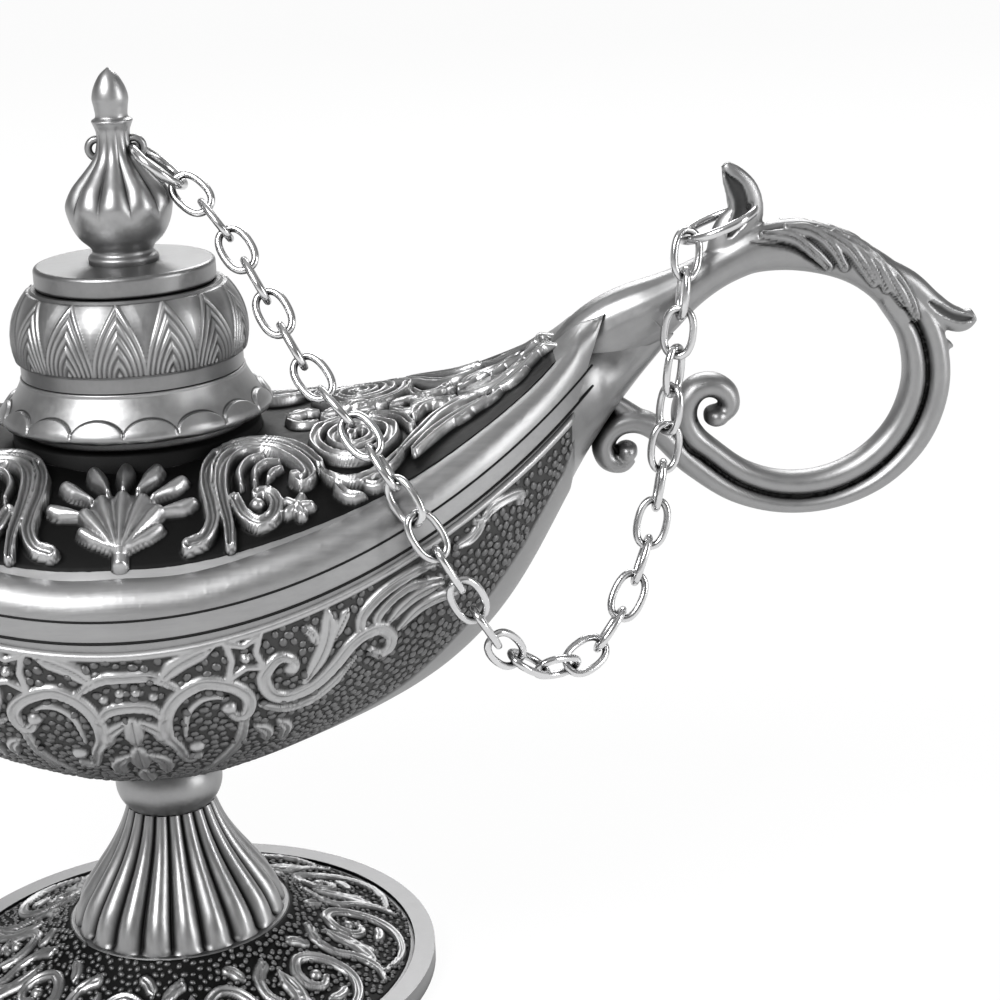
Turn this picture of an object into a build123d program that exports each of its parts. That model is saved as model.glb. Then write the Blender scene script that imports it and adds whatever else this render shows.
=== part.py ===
"""Genie oil lamp: a boat-shaped bowl on a fluted stem, with a pierced cover, a spout, a scroll handle
and a lift-off lid that hangs on a fine chain from the handle."""

import os
from math import cos, radians, sin, sqrt

from build123d import *

os.makedirs("parts", exist_ok=True)

# Driving dimensions, in millimetres. Z is up, and X runs from the spout (-) to the handle (+).

# Felt pad and foot
pad_radius = 26.0
pad_thickness = 1.2
pad_stand = 0.4
foot_radius = 30.0
foot_rim_height = 2.2
foot_rim_width = 2.4
foot_field_step = 0.4
foot_field_sag = 1.2
foot_crown_radius = 12.8
foot_crown_rise = 6.0
foot_wall = 2.2
fit_gap = 0.05

# Fluted stem and knop
stem_height = 14.0
stem_bottom_radius = 12.4
stem_top_radius = 5.1
flute_count = 20
flute_depth_share = 0.09
knop_radius = 6.2
knop_height = 5.8
knop_seat_radius = 4.9
keel_stand = 0.4

# Centre bolt that clamps foot, stem and knop to the bowl
bolt_radius = 2.0
bolt_head_radius = 3.6
bolt_head_height = 2.4
bolt_slot_width = 0.9
bolt_slot_depth = 1.1
washer_radius = 5.0
washer_thickness = 0.8
thread_depth = 5.0

# Bowl: ellipses hung from a rim that rises as a parabola towards both ends
bowl_half_width = 30.5
bowl_depth = 24.6
bowl_wall = 2.4
bowl_boss_radius = 4.6
bowl_boss_cap = 2.0
rim_end = 48.5
rim_rise = 16.5
rim_tip = 52.2
rim_tip_rise = 27.2
neck_x = 50.8
neck_rise = 18.7
neck_tilt = 41.0
neck_half_width = 4.7
neck_half_height = 5.0

# Spout, which runs out to the left and up to a flared mouth
spout_reach = 98.0
spout_tilt = 17.0
spout_bend_radius = 45.0
spout_radius = 3.8
spout_mouth_radius = 4.7
spout_mouth_length = 5.0
spout_wall = 1.2
wick_tube_length = 14.0
wick_tube_wall = 0.5
wick_radius = 1.2
wick_stand = 3.0
wick_root_out = 4.6
wick_turn_radius = 40.0
wick_bed_x = 38.0
wick_bed_rise = 1.1
wick_end_x = 16.0
wick_end_lift = 5.8

# Cover: rim band with a lower step, then a pierced dome up to the collar's seat
cover_foot = 3.0
cover_step_height = 2.3
band_height = 3.6
band_width = 3.0
band_width_share = 0.55
band_round = (0.35, 0.72)
dome_flank = (0.55, 0.85)
cover_wall = 1.8
cover_end_x = 40.0
cover_tip_height = 1.0
cover_tip_crown = 0.3
cover_crown_rise = 13.8
cover_seat_radius = 13.4
cover_seat_rise = 14.8
cover_seat_lap = 0.2
pierce_count = 12
pierce_radius = 19.0
pierce_length = 6.0
pierce_width = 2.6
pierce_rows = [(29.0, 9.0), (29.0, 0.0), (29.0, -9.0), (36.0, 4.0), (36.0, -4.0)]
pin_x = 20.0
pin_inset = 0.3
pin_radius = 0.6
pin_length = 4.0

# Collar, the lid's seat
collar_bore_radius = 10.2
collar_top_radius = 12.2
collar_flare_radius = 14.6
collar_flare_height = 4.0
collar_neck_radius = 12.2
collar_neck_height = 2.4
collar_spigot_radius = 11.4
collar_waist_share = 0.3
lobe_count = 16
lobe_radius = 2.5
lobe_inset = 1.6
clinch_ring_radius = 12.8
clinch_ring_height = 1.2

# Lid
lid_gap = 0.1
lid_band_radius = 12.2
lid_band_height = 1.5
lid_belly_radius = 12.7
lid_belly_height = 4.3
lid_body_height = 9.5
lid_top_radius = 10.3
lid_wall = 1.6
spigot_clearance = 0.08
spigot_length = 3.0
cap_radius = 9.9
cap_height = 2.4
cap_edge = 0.5

# Finial on top of the lid
finial_foot_radius = 3.8
finial_foot_height = 1.2
finial_belly_radius = 5.8
finial_neck_radius = 1.8
finial_neck_rise = 12.4
finial_ledge_height = 0.8
finial_ledge_radius = 2.35
finial_ledge_rise = 15.4
finial_bud_radius = 2.05
finial_bud_rise = 17.3
finial_height = 20.9
gadroon_count = 12
gadroon_depth_share = 0.12
lug_radius = 1.5
lug_reach = 2.1
lug_thickness = 1.2
lug_hole_radius = 0.75
lug_rise = 12.3
finial_screw_radius = 1.25
finial_screw_length = 6.0
finial_screw_head_radius = 2.5
finial_screw_head_height = 1.4
finial_washer_radius = 3.6
finial_washer_thickness = 0.6

# Handle: neck, twin-rib loop, two volutes, thumb leaf with the chain's hole, leaf spur
handle_joint_run = 8.8
handle_joint_radius = 3.4
handle_tenon_radius = 2.2
handle_tenon_length = 5.0
loop_x = 73.3
loop_rise = 16.9
loop_radius = 14.85
loop_start_angle = 128.0
loop_end_angle = -142.0
rib_radius = 1.5
rib_offset = 1.25
rib_depth = 2.3
neck_lap = 0.12
scroll_taper = 0.93
volute_radius = 2.85
volute_x = 63.9
volute_rise = 12.9
volute_sweep = 190.0
volute_bulb_radius = 1.75
curl_x = 54.3
curl_rise = 8.7
curl_radius = 2.2
curl_sweep = 250.0
curl_rib_radius = 1.15
curl_depth = 2.0
bracket_thickness = 2.4
bracket_shape = [(-1.0, 0.0), (0.0, 0.0), (1.6, 0.8), (1.6, 1.9), (0.0, 2.9), (-1.8, 2.9)]
ear_x = 68.4
ear_rise = 35.8
ear_shape = [(-5.8, -5.0), (-2.9, 0.0), (-3.1, 4.5), (-2.7, 5.1), (-1.8, 5.1), (1.9, 0.4), (0.9, -4.6)]
ear_thickness = 1.6
ear_hole_radius = 1.2
spur_thickness = 4.0
spur_reach = 21.1
spur_rise = 5.8
spur_notch = (1.4, 2.0)
spur_root_angle = 48.0
spur_back_angle = 42.0
spur_heel_angle = 10.0

# Chain of oval links between the finial's lug and the thumb leaf
chain_link_count = 30
link_wire_radius = 0.43
link_half_width = 1.58
link_play = 0.09
hook_play = 0.16
ring_wire_radius = 0.5
finial_ring_radius = 3.3
ear_ring_radius = 4.3
ear_ring_roll = 1.0
finial_pull = (0.757, -0.115, -0.643)
ear_pull = (-0.825, -0.476, -0.305)
finial_hang = (0.72, -0.3, -0.62)
ear_hang = (0.1, 0.28, 0.955)

# Places the hanging chain passes: shares of the ear's reach, the bowl's half width and its depth over the rim
chain_hang = [
    (0.187, -0.203, 1.419),
    (0.243, -0.361, 1.159),
    (0.300, -0.511, 0.907),
    (0.367, -0.656, 0.707),
    (0.423, -0.793, 0.480),
    (0.481, -0.839, 0.207),
    (0.532, -0.780, -0.085),
    (0.602, -0.643, -0.358),
    (0.697, -0.492, -0.427),
    (0.776, -0.367, -0.203),
    (0.822, -0.282, 0.102),
    (0.846, -0.236, 0.402),
    (0.864, -0.207, 0.736),
    (0.882, -0.184, 1.081),
]

# Turn of the links about the chain's line, in degrees, at shares of its length
chain_twist = [(0.0, 0.0), (0.3, 0.0), (0.4, 90.0), (0.53, 90.0), (0.63, 180.0), (0.8, 180.0), (1.0, 296.0)]
chain_facing = (0.0, -0.965, 0.263)

# Heights worked out from the stack of pieces
foot_bottom = pad_stand
foot_rim_top = foot_bottom + foot_rim_height
foot_crown = foot_rim_top + foot_crown_rise
stem_top = foot_crown + stem_height
knop_top = stem_top + knop_height
keel_z = knop_top + keel_stand
rim_z = keel_z + bowl_depth
collar_seat_z = rim_z + cover_seat_rise
collar_top_z = collar_seat_z + collar_neck_height + collar_flare_height
lid_z = collar_top_z + lid_gap
lid_top_z = lid_z + lid_body_height
cap_top_z = lid_top_z + cap_height
lug_z = cap_top_z + lug_rise
loop_z = rim_z + loop_rise
ear_z = rim_z + ear_rise


def heading_plane(x, z, tilt):
    """Plane square to a line that climbs at tilt degrees in the lamp's long section."""
    heading = (cos(radians(tilt)), 0, sin(radians(tilt)))
    return Plane(origin=(x, 0, z), x_dir=(0, 1, 0), z_dir=heading)


def rim_half_width(x):
    """Half width of the rim in plan: one arc from the middle of the bowl to the neck."""
    sagitta = bowl_half_width - neck_half_width
    arc_radius = (neck_x**2 + sagitta**2) / (2 * sagitta)
    return sqrt(arc_radius**2 - x**2) - (arc_radius - bowl_half_width)


def rim_height(x):
    """Height of the seam between bowl and cover: a parabola, then a steep ramp over the neck."""
    if abs(x) <= rim_end:
        return rim_z + rim_rise * (x / rim_end) ** 2
    climb = (abs(x) - rim_end) / (rim_tip - rim_end)
    return rim_z + rim_rise + (rim_tip_rise - rim_rise) * climb


# Depth of the hull under the rim at stations along the bowl, as a share of the depth in the middle
hull_stations = [(0.0, 1.0), (13.0, 0.955), (25.0, 0.905), (33.5, 0.86), (40.0, 0.74), (44.5, 0.57)]


def hull_sections(inset):
    """Ellipses (x, z, tilt, half width, half height) of the boat, from left to right."""
    right = [(x, rim_height(x), 0, rim_half_width(x) - inset, bowl_depth * d - inset) for x, d in hull_stations]
    left = [(-x, z, tilt, width, depth) for x, z, tilt, width, depth in reversed(right[1:])]
    return left + right


neck_run = (cos(radians(neck_tilt)), sin(radians(neck_tilt)))
spout_line = (cos(radians(spout_tilt)), sin(radians(spout_tilt)))
joint_x = neck_x + handle_joint_run * neck_run[0]
joint_z = rim_z + neck_rise + handle_joint_run * neck_run[1]
neck_section = (neck_x, rim_z + neck_rise, neck_tilt, neck_half_width, neck_half_height)
joint_section = (joint_x, joint_z, neck_tilt, handle_joint_radius, handle_joint_radius)

# The spout leaves its root with the neck's slope, bends once and runs straight to the mouth
bend_x = -joint_x - spout_bend_radius * (neck_run[1] - spout_line[1])
bend_z = joint_z + spout_bend_radius * (spout_line[0] - neck_run[0])
spout_straight = (spout_reach + bend_x) / spout_line[0]
mouth_z = bend_z + spout_straight * spout_line[1]
mouth_plane = heading_plane(-spout_reach, mouth_z, -spout_tilt)


def spout_root(wall):
    """Ellipses where the spout grows out of the bowl, less a wall."""
    return [
        (-joint_x, joint_z, -neck_tilt, spout_radius - wall, spout_radius - wall),
        (-neck_x, rim_z + neck_rise, -neck_tilt, neck_half_width - wall, neck_half_height - wall),
    ]


def spout_bar(radius):
    """Round bar along the spout from its root to the mouth."""
    with BuildPart() as bar:
        with BuildLine(Plane.XZ):
            JernArc((-joint_x, joint_z), (-neck_run[0], neck_run[1]), spout_bend_radius, neck_tilt - spout_tilt)
            Line((bend_x, bend_z), (-spout_reach, mouth_z))
        with BuildSketch(heading_plane(-joint_x, joint_z, -neck_tilt)):
            Circle(radius)
        sweep()
    return bar.part


def ellipse_loft(sections):
    """Smooth solid through a row of ellipses."""
    with BuildPart() as body:
        for x, z, tilt, half_width, half_height in sections:
            with BuildSketch(heading_plane(x, z, tilt)):
                Ellipse(half_width, half_height)
        loft()
    return body.part


def above_rim(overlap):
    """Block of everything over the seam between the two ends of the cover."""
    with BuildPart() as block:
        with BuildSketch(Plane.XZ):
            with BuildLine():
                ends = (rim_z + rim_rise, rim_z + rim_tip_rise)
                Bezier((-rim_end, ends[0]), (0, rim_z - rim_rise), (rim_end, ends[0]))
                Polyline((rim_end, ends[0]), (rim_tip, ends[1]), (rim_tip, ends[1] + overlap))
                Line((rim_tip, ends[1] + overlap), (-rim_tip, ends[1] + overlap))
                Polyline((-rim_tip, ends[1] + overlap), (-rim_tip, ends[1]), (-rim_end, ends[0]))
            make_face()
        extrude(amount=2 * bowl_half_width, both=True)
    return block.part


rim_block = above_rim(2 * bowl_depth)
hull_space = ellipse_loft(spout_root(spout_wall) + hull_sections(bowl_wall))
with BuildPart() as hull:
    add(ellipse_loft(spout_root(0) + hull_sections(0) + [neck_section, joint_section]))
    add(spout_bar(spout_radius))
    with BuildSketch(mouth_plane):
        Circle(spout_mouth_radius)
    with BuildSketch(mouth_plane.offset(spout_mouth_length)):
        Circle(spout_radius)
    loft()

# Felt pad glued into the foot's recess; the lamp stands on it
with BuildPart() as base_pad:
    Cylinder(pad_radius, pad_thickness, align=(Align.CENTER, Align.CENTER, Align.MIN))
base_pad.part.label = "base_pad"
export_step(base_pad.part, "parts/base_pad.step")

# Foot: dished casting with a plain rim band and a sloping field
bolt_hole_radius = bolt_radius + fit_gap
pad_recess_radius = pad_radius + fit_gap
field_radius = foot_radius - foot_rim_width
foot_floor = foot_crown - foot_wall
with BuildPart() as foot:
    with BuildSketch(Plane.XZ):
        with BuildLine():
            field_low = (field_radius, foot_rim_top - foot_field_step)
            field_high = (foot_crown_radius, foot_crown)
            middle = ((field_low[0] + field_high[0]) / 2, (field_low[1] + field_high[1]) / 2 - foot_field_sag)
            Polyline((pad_recess_radius, foot_bottom), (foot_radius, foot_bottom), (foot_radius, foot_rim_top))
            Polyline((foot_radius, foot_rim_top), (field_radius, foot_rim_top), field_low)
            ThreePointArc(field_low, middle, field_high)
            Polyline(field_high, (bolt_hole_radius, foot_crown), (bolt_hole_radius, foot_floor))
            Line((bolt_hole_radius, foot_floor), (foot_crown_radius - foot_wall, foot_floor))
            hollow_low = (pad_radius - foot_wall, pad_thickness)
            hollow_middle = (middle[0] - foot_wall / 2, middle[1] - foot_wall)
            ThreePointArc((foot_crown_radius - foot_wall, foot_floor), hollow_middle, hollow_low)
            Polyline(hollow_low, (pad_recess_radius, pad_thickness), (pad_recess_radius, foot_bottom))
        make_face()
    revolve(axis=Axis.Z)
foot.part.label = "foot"
export_step(foot.part, "parts/foot.step")


def fluted_outline(radius, count, depth_share):
    """Closed outline of convex flutes round a circle."""
    valley = radius * (1 - depth_share)
    pitch = 360 / count
    for i in range(count):
        a, b, c = (radians((i + k) * pitch) for k in (-0.5, 0.0, 0.5))
        start = (valley * cos(a), valley * sin(a))
        crest = (radius * cos(b), radius * sin(b))
        ThreePointArc(start, crest, (valley * cos(c), valley * sin(c)))


# Stem: fluted trumpet that stands on the foot's crown
stem_flare = [(0.0, 1.0), (0.2, 0.9), (0.4, 0.62), (0.6, 0.34), (0.8, 0.13), (1.0, 0.0)]
with BuildPart() as stem:
    for share, spread in stem_flare:
        with BuildSketch(Plane.XY.offset(foot_crown + stem_height * share)):
            with BuildLine():
                flare_radius = stem_top_radius + (stem_bottom_radius - stem_top_radius) * spread
                fluted_outline(flare_radius, flute_count, flute_depth_share)
            make_face()
    loft()
    with Locations((0, 0, foot_crown)):
        Cylinder(bolt_hole_radius, 3 * stem_height, mode=Mode.SUBTRACT)
stem.part.label = "stem"
export_step(stem.part, "parts/stem.step")

# Knop: smooth bead between stem and bowl
with BuildPart() as knop:
    with BuildSketch(Plane.XZ):
        with BuildLine():
            Line((bolt_hole_radius, stem_top), (knop_seat_radius, stem_top))
            knop_side = (knop_radius, stem_top + knop_height / 2)
            ThreePointArc((knop_seat_radius, stem_top), knop_side, (knop_seat_radius, knop_top))
            Polyline((knop_seat_radius, knop_top), (bolt_hole_radius, knop_top), (bolt_hole_radius, stem_top))
        make_face()
    revolve(axis=Axis.Z)
knop.part.label = "knop"
export_step(knop.part, "parts/knop.step")

# Centre bolt and its washer, put in from below before the pad is glued on
washer_z = foot_floor - washer_thickness
bolt_top = keel_z + bowl_wall + thread_depth
with BuildPart() as centre_bolt:
    with Locations((0, 0, washer_z - bolt_head_height)):
        Cylinder(bolt_head_radius, bolt_head_height, align=(Align.CENTER, Align.CENTER, Align.MIN))
    with Locations((0, 0, washer_z)):
        Cylinder(bolt_radius, bolt_top - washer_z, align=(Align.CENTER, Align.CENTER, Align.MIN))
    with Locations((0, 0, washer_z - bolt_head_height)):
        Box(3 * bolt_head_radius, bolt_slot_width, 2 * bolt_slot_depth, mode=Mode.SUBTRACT)
centre_bolt.part.label = "centre_bolt"
export_step(centre_bolt.part, "parts/centre_bolt.step")

with BuildPart() as bolt_washer:
    with BuildSketch(Plane.XY.offset(washer_z)):
        Circle(washer_radius)
        Circle(bolt_hole_radius, mode=Mode.SUBTRACT)
    extrude(amount=washer_thickness)
bolt_washer.part.label = "bolt_washer"
export_step(bolt_washer.part, "parts/bolt_washer.step")

# Bowl: hollow hull with the spout on its left and the neck's socket on its right
joint_plane = heading_plane(joint_x, joint_z, neck_tilt)
tube_radius = spout_radius - spout_wall
pin_y = rim_half_width(pin_x) - bowl_wall / 2 - pin_inset
pin_places = [(-pin_x, -pin_y), (-pin_x, pin_y), (pin_x, -pin_y), (pin_x, pin_y)]
with BuildPart() as bowl:
    add(hull.part)
    add(hull_space, mode=Mode.SUBTRACT)
    add(spout_bar(tube_radius), mode=Mode.SUBTRACT)
    with BuildSketch(Plane.XY.offset(knop_top)):
        Circle(knop_seat_radius)
    extrude(amount=keel_z + bowl_wall - knop_top)
    with BuildSketch(Plane.XY.offset(keel_z + bowl_wall / 2)):
        Circle(bowl_boss_radius)
    extrude(amount=bowl_wall / 2 + thread_depth + bowl_boss_cap + fit_gap)
    with BuildSketch(Plane.XY.offset(knop_top)):
        Circle(bolt_radius + fit_gap)
    extrude(amount=bolt_top + fit_gap - knop_top, mode=Mode.SUBTRACT)
    add(rim_block, mode=Mode.SUBTRACT)
    with BuildSketch(mouth_plane):
        Circle(tube_radius + fit_gap)
    extrude(amount=wick_tube_length, mode=Mode.SUBTRACT)
    with BuildSketch(joint_plane):
        Circle(handle_tenon_radius + fit_gap)
    extrude(amount=-handle_tenon_length - fit_gap, mode=Mode.SUBTRACT)
    for x, y in pin_places:
        with BuildSketch(Plane.XY.offset(rim_height(x) - pin_length / 2)):
            with Locations((x, y)):
                Circle(pin_radius + fit_gap)
        extrude(amount=pin_length, mode=Mode.SUBTRACT)
bowl.part.label = "bowl"
export_step(bowl.part, "parts/bowl.step")

# Wick tube pressed into the spout, and the cotton wick that runs through it down into the bowl
with BuildPart() as wick_tube:
    with BuildSketch(mouth_plane):
        Circle(tube_radius)
        Circle(tube_radius - wick_tube_wall, mode=Mode.SUBTRACT)
    extrude(amount=wick_tube_length)
wick_tube.part.label = "wick_tube"
export_step(wick_tube.part, "parts/wick_tube.step")

wick_end = mouth_plane.origin - mouth_plane.z_dir * wick_stand
spout_turn = radians(neck_tilt - spout_tilt)
corner_out = spout_bend_radius * sin(spout_turn) / (1 + cos(spout_turn))
wick_points = [
    wick_end,
    (-joint_x - corner_out * neck_run[0], 0, joint_z + corner_out * neck_run[1]),
    (-neck_x - wick_root_out * neck_run[0], 0, rim_z + neck_rise + wick_root_out * neck_run[1]),
    (-wick_bed_x, 0, rim_z + wick_bed_rise),
    (-wick_end_x, 0, keel_z + bowl_wall + wick_end_lift),
]
with BuildPart() as wick:
    with BuildLine() as wick_line:
        FilletPolyline(*wick_points, radius=[spout_bend_radius, wick_turn_radius, wick_turn_radius])
    with BuildSketch(Plane(origin=wick_line.line @ 0, z_dir=wick_line.line % 0)):
        Circle(wick_radius)
    sweep()
wick.part.label = "wick"
export_step(wick.part, "parts/wick.step")

# Cover: rim band and dome lofted through sections across the lamp, then hollowed and pierced
cover_stations = [(0.0, 0.0), (13.0, 0.0), (25.0, 0.2), (33.5, 1.4), (40.0, 3.6), (45.0, 6.8), (49.0, 10.4)]


def cover_outline(x, crown_z, band_share):
    """Half sections of band and dome, mirrored, across the lamp at x."""
    seam_z = rim_height(x)
    width = rim_half_width(x)
    inner = width - min(band_width, band_width_share * width)
    edge_z = seam_z + (cover_step_height + band_height) * band_share
    step_z = seam_z + cover_step_height * band_share
    shoulder = (width + band_round[0] * (inner - width), step_z + band_round[1] * (edge_z - step_z))
    flank = (dome_flank[0] * inner, edge_z + dome_flank[1] * (crown_z - edge_z))
    Polyline((-width, step_z), (-width, seam_z - cover_foot), (width, seam_z - cover_foot), (width, step_z))
    ThreePointArc((width, step_z), shoulder, (inner, edge_z))
    Spline((inner, edge_z), flank, (0, crown_z), (-flank[0], flank[1]), (-inner, edge_z))
    ThreePointArc((-inner, edge_z), (-shoulder[0], shoulder[1]), (-width, step_z))


def cover_space_outline(x, crown_z):
    """The hollow under band and dome at x."""
    seam_z = rim_height(x)
    inner = rim_half_width(x) - band_width
    edge_z = seam_z + cover_step_height + band_height - cover_wall
    flank = (dome_flank[0] * inner, edge_z + dome_flank[1] * (crown_z - cover_wall - edge_z))
    low_z = seam_z - 2 * cover_foot
    Polyline((-inner, edge_z), (-inner, low_z), (inner, low_z), (inner, edge_z))
    Spline((inner, edge_z), flank, (0, crown_z - cover_wall), (-flank[0], flank[1]), (-inner, edge_z))


crown_z = rim_z + cover_crown_rise
cover_rows = [(x, crown_z + rise, 1.0) for x, rise in cover_stations]
tip_share = cover_tip_height / (cover_step_height + band_height)
cover_rows.append((rim_tip, rim_height(rim_tip) + cover_tip_height + cover_tip_crown, tip_share))
cover_rows = [(-x, top, share) for x, top, share in reversed(cover_rows[1:])] + cover_rows
space_rows = [(x, top) for x, top, share in cover_rows if abs(x) <= cover_end_x]
seat_thickness = cover_seat_rise - cover_crown_rise + cover_wall + cover_seat_lap
seat_low = collar_seat_z - seat_thickness
with BuildPart() as cover:
    for x, top, share in cover_rows:
        with BuildSketch(Plane.YZ.offset(x)):
            with BuildLine():
                cover_outline(x, top, share)
            make_face()
    loft()
    for x, top in space_rows:
        with BuildSketch(Plane.YZ.offset(x)):
            with BuildLine():
                cover_space_outline(x, top)
            make_face()
    loft(mode=Mode.SUBTRACT)
    add(rim_block, mode=Mode.INTERSECT)
    with BuildSketch(Plane.XY.offset(rim_z)):
        with PolarLocations(pierce_radius, pierce_count, start_angle=180 / pierce_count):
            SlotOverall(pierce_length, pierce_width)
        with Locations(*pierce_rows, *[(-x, y) for x, y in pierce_rows]):
            SlotOverall(pierce_length, pierce_width)
    extrude(amount=bowl_depth, mode=Mode.SUBTRACT)
    with BuildSketch(Plane.XY.offset(seat_low)):
        Circle(cover_seat_radius)
    extrude(amount=seat_thickness)
    with BuildSketch(Plane.XY.offset(rim_z)):
        Circle(collar_spigot_radius + fit_gap)
    extrude(amount=bowl_depth, mode=Mode.SUBTRACT)
    with BuildSketch(Plane.XY.offset(rim_z)):
        Circle(clinch_ring_radius + fit_gap)
    extrude(amount=seat_low - rim_z, mode=Mode.SUBTRACT)
    for x, y in pin_places:
        with BuildSketch(Plane.XY.offset(rim_height(x) - pin_length / 2)):
            with Locations((x, y)):
                Circle(pin_radius + fit_gap)
        extrude(amount=pin_length, mode=Mode.SUBTRACT)
cover.part.label = "cover"
export_step(cover.part, "parts/cover.step")

# Dowel pins that locate the cover on the bowl's rim
with BuildPart() as cover_pins:
    for x, y in pin_places:
        with BuildSketch(Plane.XY.offset(rim_height(x) - pin_length / 2)):
            with Locations((x, y)):
                Circle(pin_radius)
        extrude(amount=pin_length)
cover_pins.part.label = "cover_pins"
export_step(cover_pins.part, "parts/cover_pins.step")

# Collar: turned seat for the lid, with a row of domed scallops on its flare
collar_low = seat_low - clinch_ring_height
ledge_z = collar_seat_z + collar_neck_height
with BuildPart() as collar:
    with Locations((0, 0, ledge_z)):
        with PolarLocations(collar_flare_radius - lobe_inset, lobe_count):
            Sphere(lobe_radius)
    split(bisect_by=Plane.XY.offset(ledge_z), keep=Keep.TOP)
    with BuildSketch(Plane.XZ):
        with BuildLine():
            Polyline((collar_bore_radius, collar_low), (collar_spigot_radius, collar_low))
            Polyline((collar_spigot_radius, collar_low), (collar_spigot_radius, collar_seat_z))
            Polyline((collar_spigot_radius, collar_seat_z), (collar_neck_radius, collar_seat_z))
            Line((collar_neck_radius, collar_seat_z), (collar_neck_radius, ledge_z))
            Line((collar_neck_radius, ledge_z), (collar_flare_radius, ledge_z))
            waist_radius = collar_top_radius + collar_waist_share * (collar_flare_radius - collar_top_radius)
            waist = (waist_radius, ledge_z + collar_flare_height / 2)
            ThreePointArc((collar_flare_radius, ledge_z), waist, (collar_top_radius, collar_top_z))
            Line((collar_top_radius, collar_top_z), (collar_bore_radius, collar_top_z))
            Line((collar_bore_radius, collar_top_z), (collar_bore_radius, collar_low))
        make_face()
    revolve(axis=Axis.Z)
collar.part.label = "collar"
export_step(collar.part, "parts/collar.step")

# Clinch ring that holds the collar from under the cover
with BuildPart() as clinch_ring:
    with BuildSketch(Plane.XY.offset(collar_low)):
        Circle(clinch_ring_radius)
        Circle(collar_spigot_radius + fit_gap, mode=Mode.SUBTRACT)
    extrude(amount=clinch_ring_height)
clinch_ring.part.label = "clinch_ring"
export_step(clinch_ring.part, "parts/clinch_ring.step")

# Lid: hollow barrel with a plain lower band and a spigot that drops into the collar
spigot_radius = collar_bore_radius - spigot_clearance
spigot_inner = spigot_radius - lid_wall
screw_hole_radius = finial_screw_radius + fit_gap
with BuildPart() as lid:
    with BuildSketch(Plane.XZ):
        with BuildLine():
            belly = (lid_belly_radius, lid_z + lid_belly_height)
            shoulder = (lid_top_radius, lid_top_z)
            band_top = lid_z + lid_band_height
            roof = lid_top_z - lid_wall
            spigot_low = lid_z - spigot_length
            hollow_top = (lid_top_radius - lid_wall, roof)
            hollow_side = (lid_belly_radius - lid_wall, lid_z + lid_belly_height)
            hollow_low = (lid_band_radius - lid_wall, band_top)
            Polyline((spigot_inner, spigot_low), (spigot_radius, spigot_low), (spigot_radius, lid_z))
            Polyline((spigot_radius, lid_z), (lid_band_radius, lid_z), (lid_band_radius, band_top))
            ThreePointArc((lid_band_radius, band_top), belly, shoulder)
            Polyline(shoulder, (screw_hole_radius, lid_top_z), (screw_hole_radius, roof), hollow_top)
            ThreePointArc(hollow_top, hollow_side, hollow_low)
            Polyline(hollow_low, (spigot_inner, band_top), (spigot_inner, spigot_low))
        make_face()
    revolve(axis=Axis.Z)
lid.part.label = "lid"
export_step(lid.part, "parts/lid.step")

# Cap disc on top of the lid
with BuildPart() as lid_cap:
    with BuildSketch(Plane.XY.offset(lid_top_z)):
        Circle(cap_radius)
    extrude(amount=cap_height)
    fillet(lid_cap.faces().sort_by(Axis.Z)[-1].edges(), radius=cap_edge)
    fillet(lid_cap.faces().sort_by(Axis.Z)[0].edges(), radius=cap_edge)
    with Locations((0, 0, lid_top_z)):
        Cylinder(screw_hole_radius, 3 * cap_height, mode=Mode.SUBTRACT)
lid_cap.part.label = "lid_cap"
export_step(lid_cap.part, "parts/lid_cap.step")

# Finial: footed bulb, gadrooned flare, neck with two lugs, ledge and bud
finial_flare = [(0.0, 0.42), (0.19, 0.75), (0.32, 0.94), (0.43, 1.0)]
finial_flare += [(0.53, 0.84), (0.7, 0.46), (0.86, 0.17), (1.0, 0.02)]
flare_low = cap_top_z + finial_foot_height
flare_height = finial_neck_rise - finial_foot_height
finial_ledge_z = cap_top_z + finial_ledge_rise
screw_top = roof + finial_screw_length
with BuildPart() as finial:
    for share, spread in finial_flare:
        with BuildSketch(Plane.XY.offset(flare_low + flare_height * share)):
            with BuildLine():
                flare_radius = finial_neck_radius + (finial_belly_radius - finial_neck_radius) * spread
                fluted_outline(flare_radius, gadroon_count, gadroon_depth_share)
            make_face()
    loft()
    with BuildSketch(Plane.XY.offset(cap_top_z)):
        Circle(finial_foot_radius)
    extrude(amount=finial_foot_height)
    with BuildSketch(Plane.XZ):
        with BuildLine():
            neck_low = cap_top_z + finial_neck_rise - finial_neck_radius
            ledge_low = (finial_neck_radius, finial_ledge_z - finial_ledge_height)
            ledge_side = (finial_ledge_radius, finial_ledge_z)
            bud_low = (finial_neck_radius, finial_ledge_z + finial_ledge_height / 2)
            bud_side = (finial_bud_radius, cap_top_z + finial_bud_rise)
            tip = (0, cap_top_z + finial_height)
            Polyline((0, neck_low), (finial_neck_radius, neck_low), ledge_low, ledge_side)
            Polyline(ledge_side, bud_low, bud_side, tip, (0, neck_low))
        make_face()
    revolve(axis=Axis.Z)
    with BuildSketch(Plane.XZ):
        with Locations((lug_reach, lug_z), (-lug_reach, lug_z)):
            Circle(lug_radius)
    extrude(amount=lug_thickness / 2, both=True)
    with BuildSketch(Plane.XZ):
        with Locations((lug_reach, lug_z)):
            Circle(lug_hole_radius)
    extrude(amount=finial_belly_radius, both=True, mode=Mode.SUBTRACT)
    with BuildSketch(Plane.XY.offset(cap_top_z)):
        Circle(screw_hole_radius)
    extrude(amount=screw_top + fit_gap - cap_top_z, mode=Mode.SUBTRACT)
finial.part.label = "finial"
export_step(finial.part, "parts/finial.step")

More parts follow.
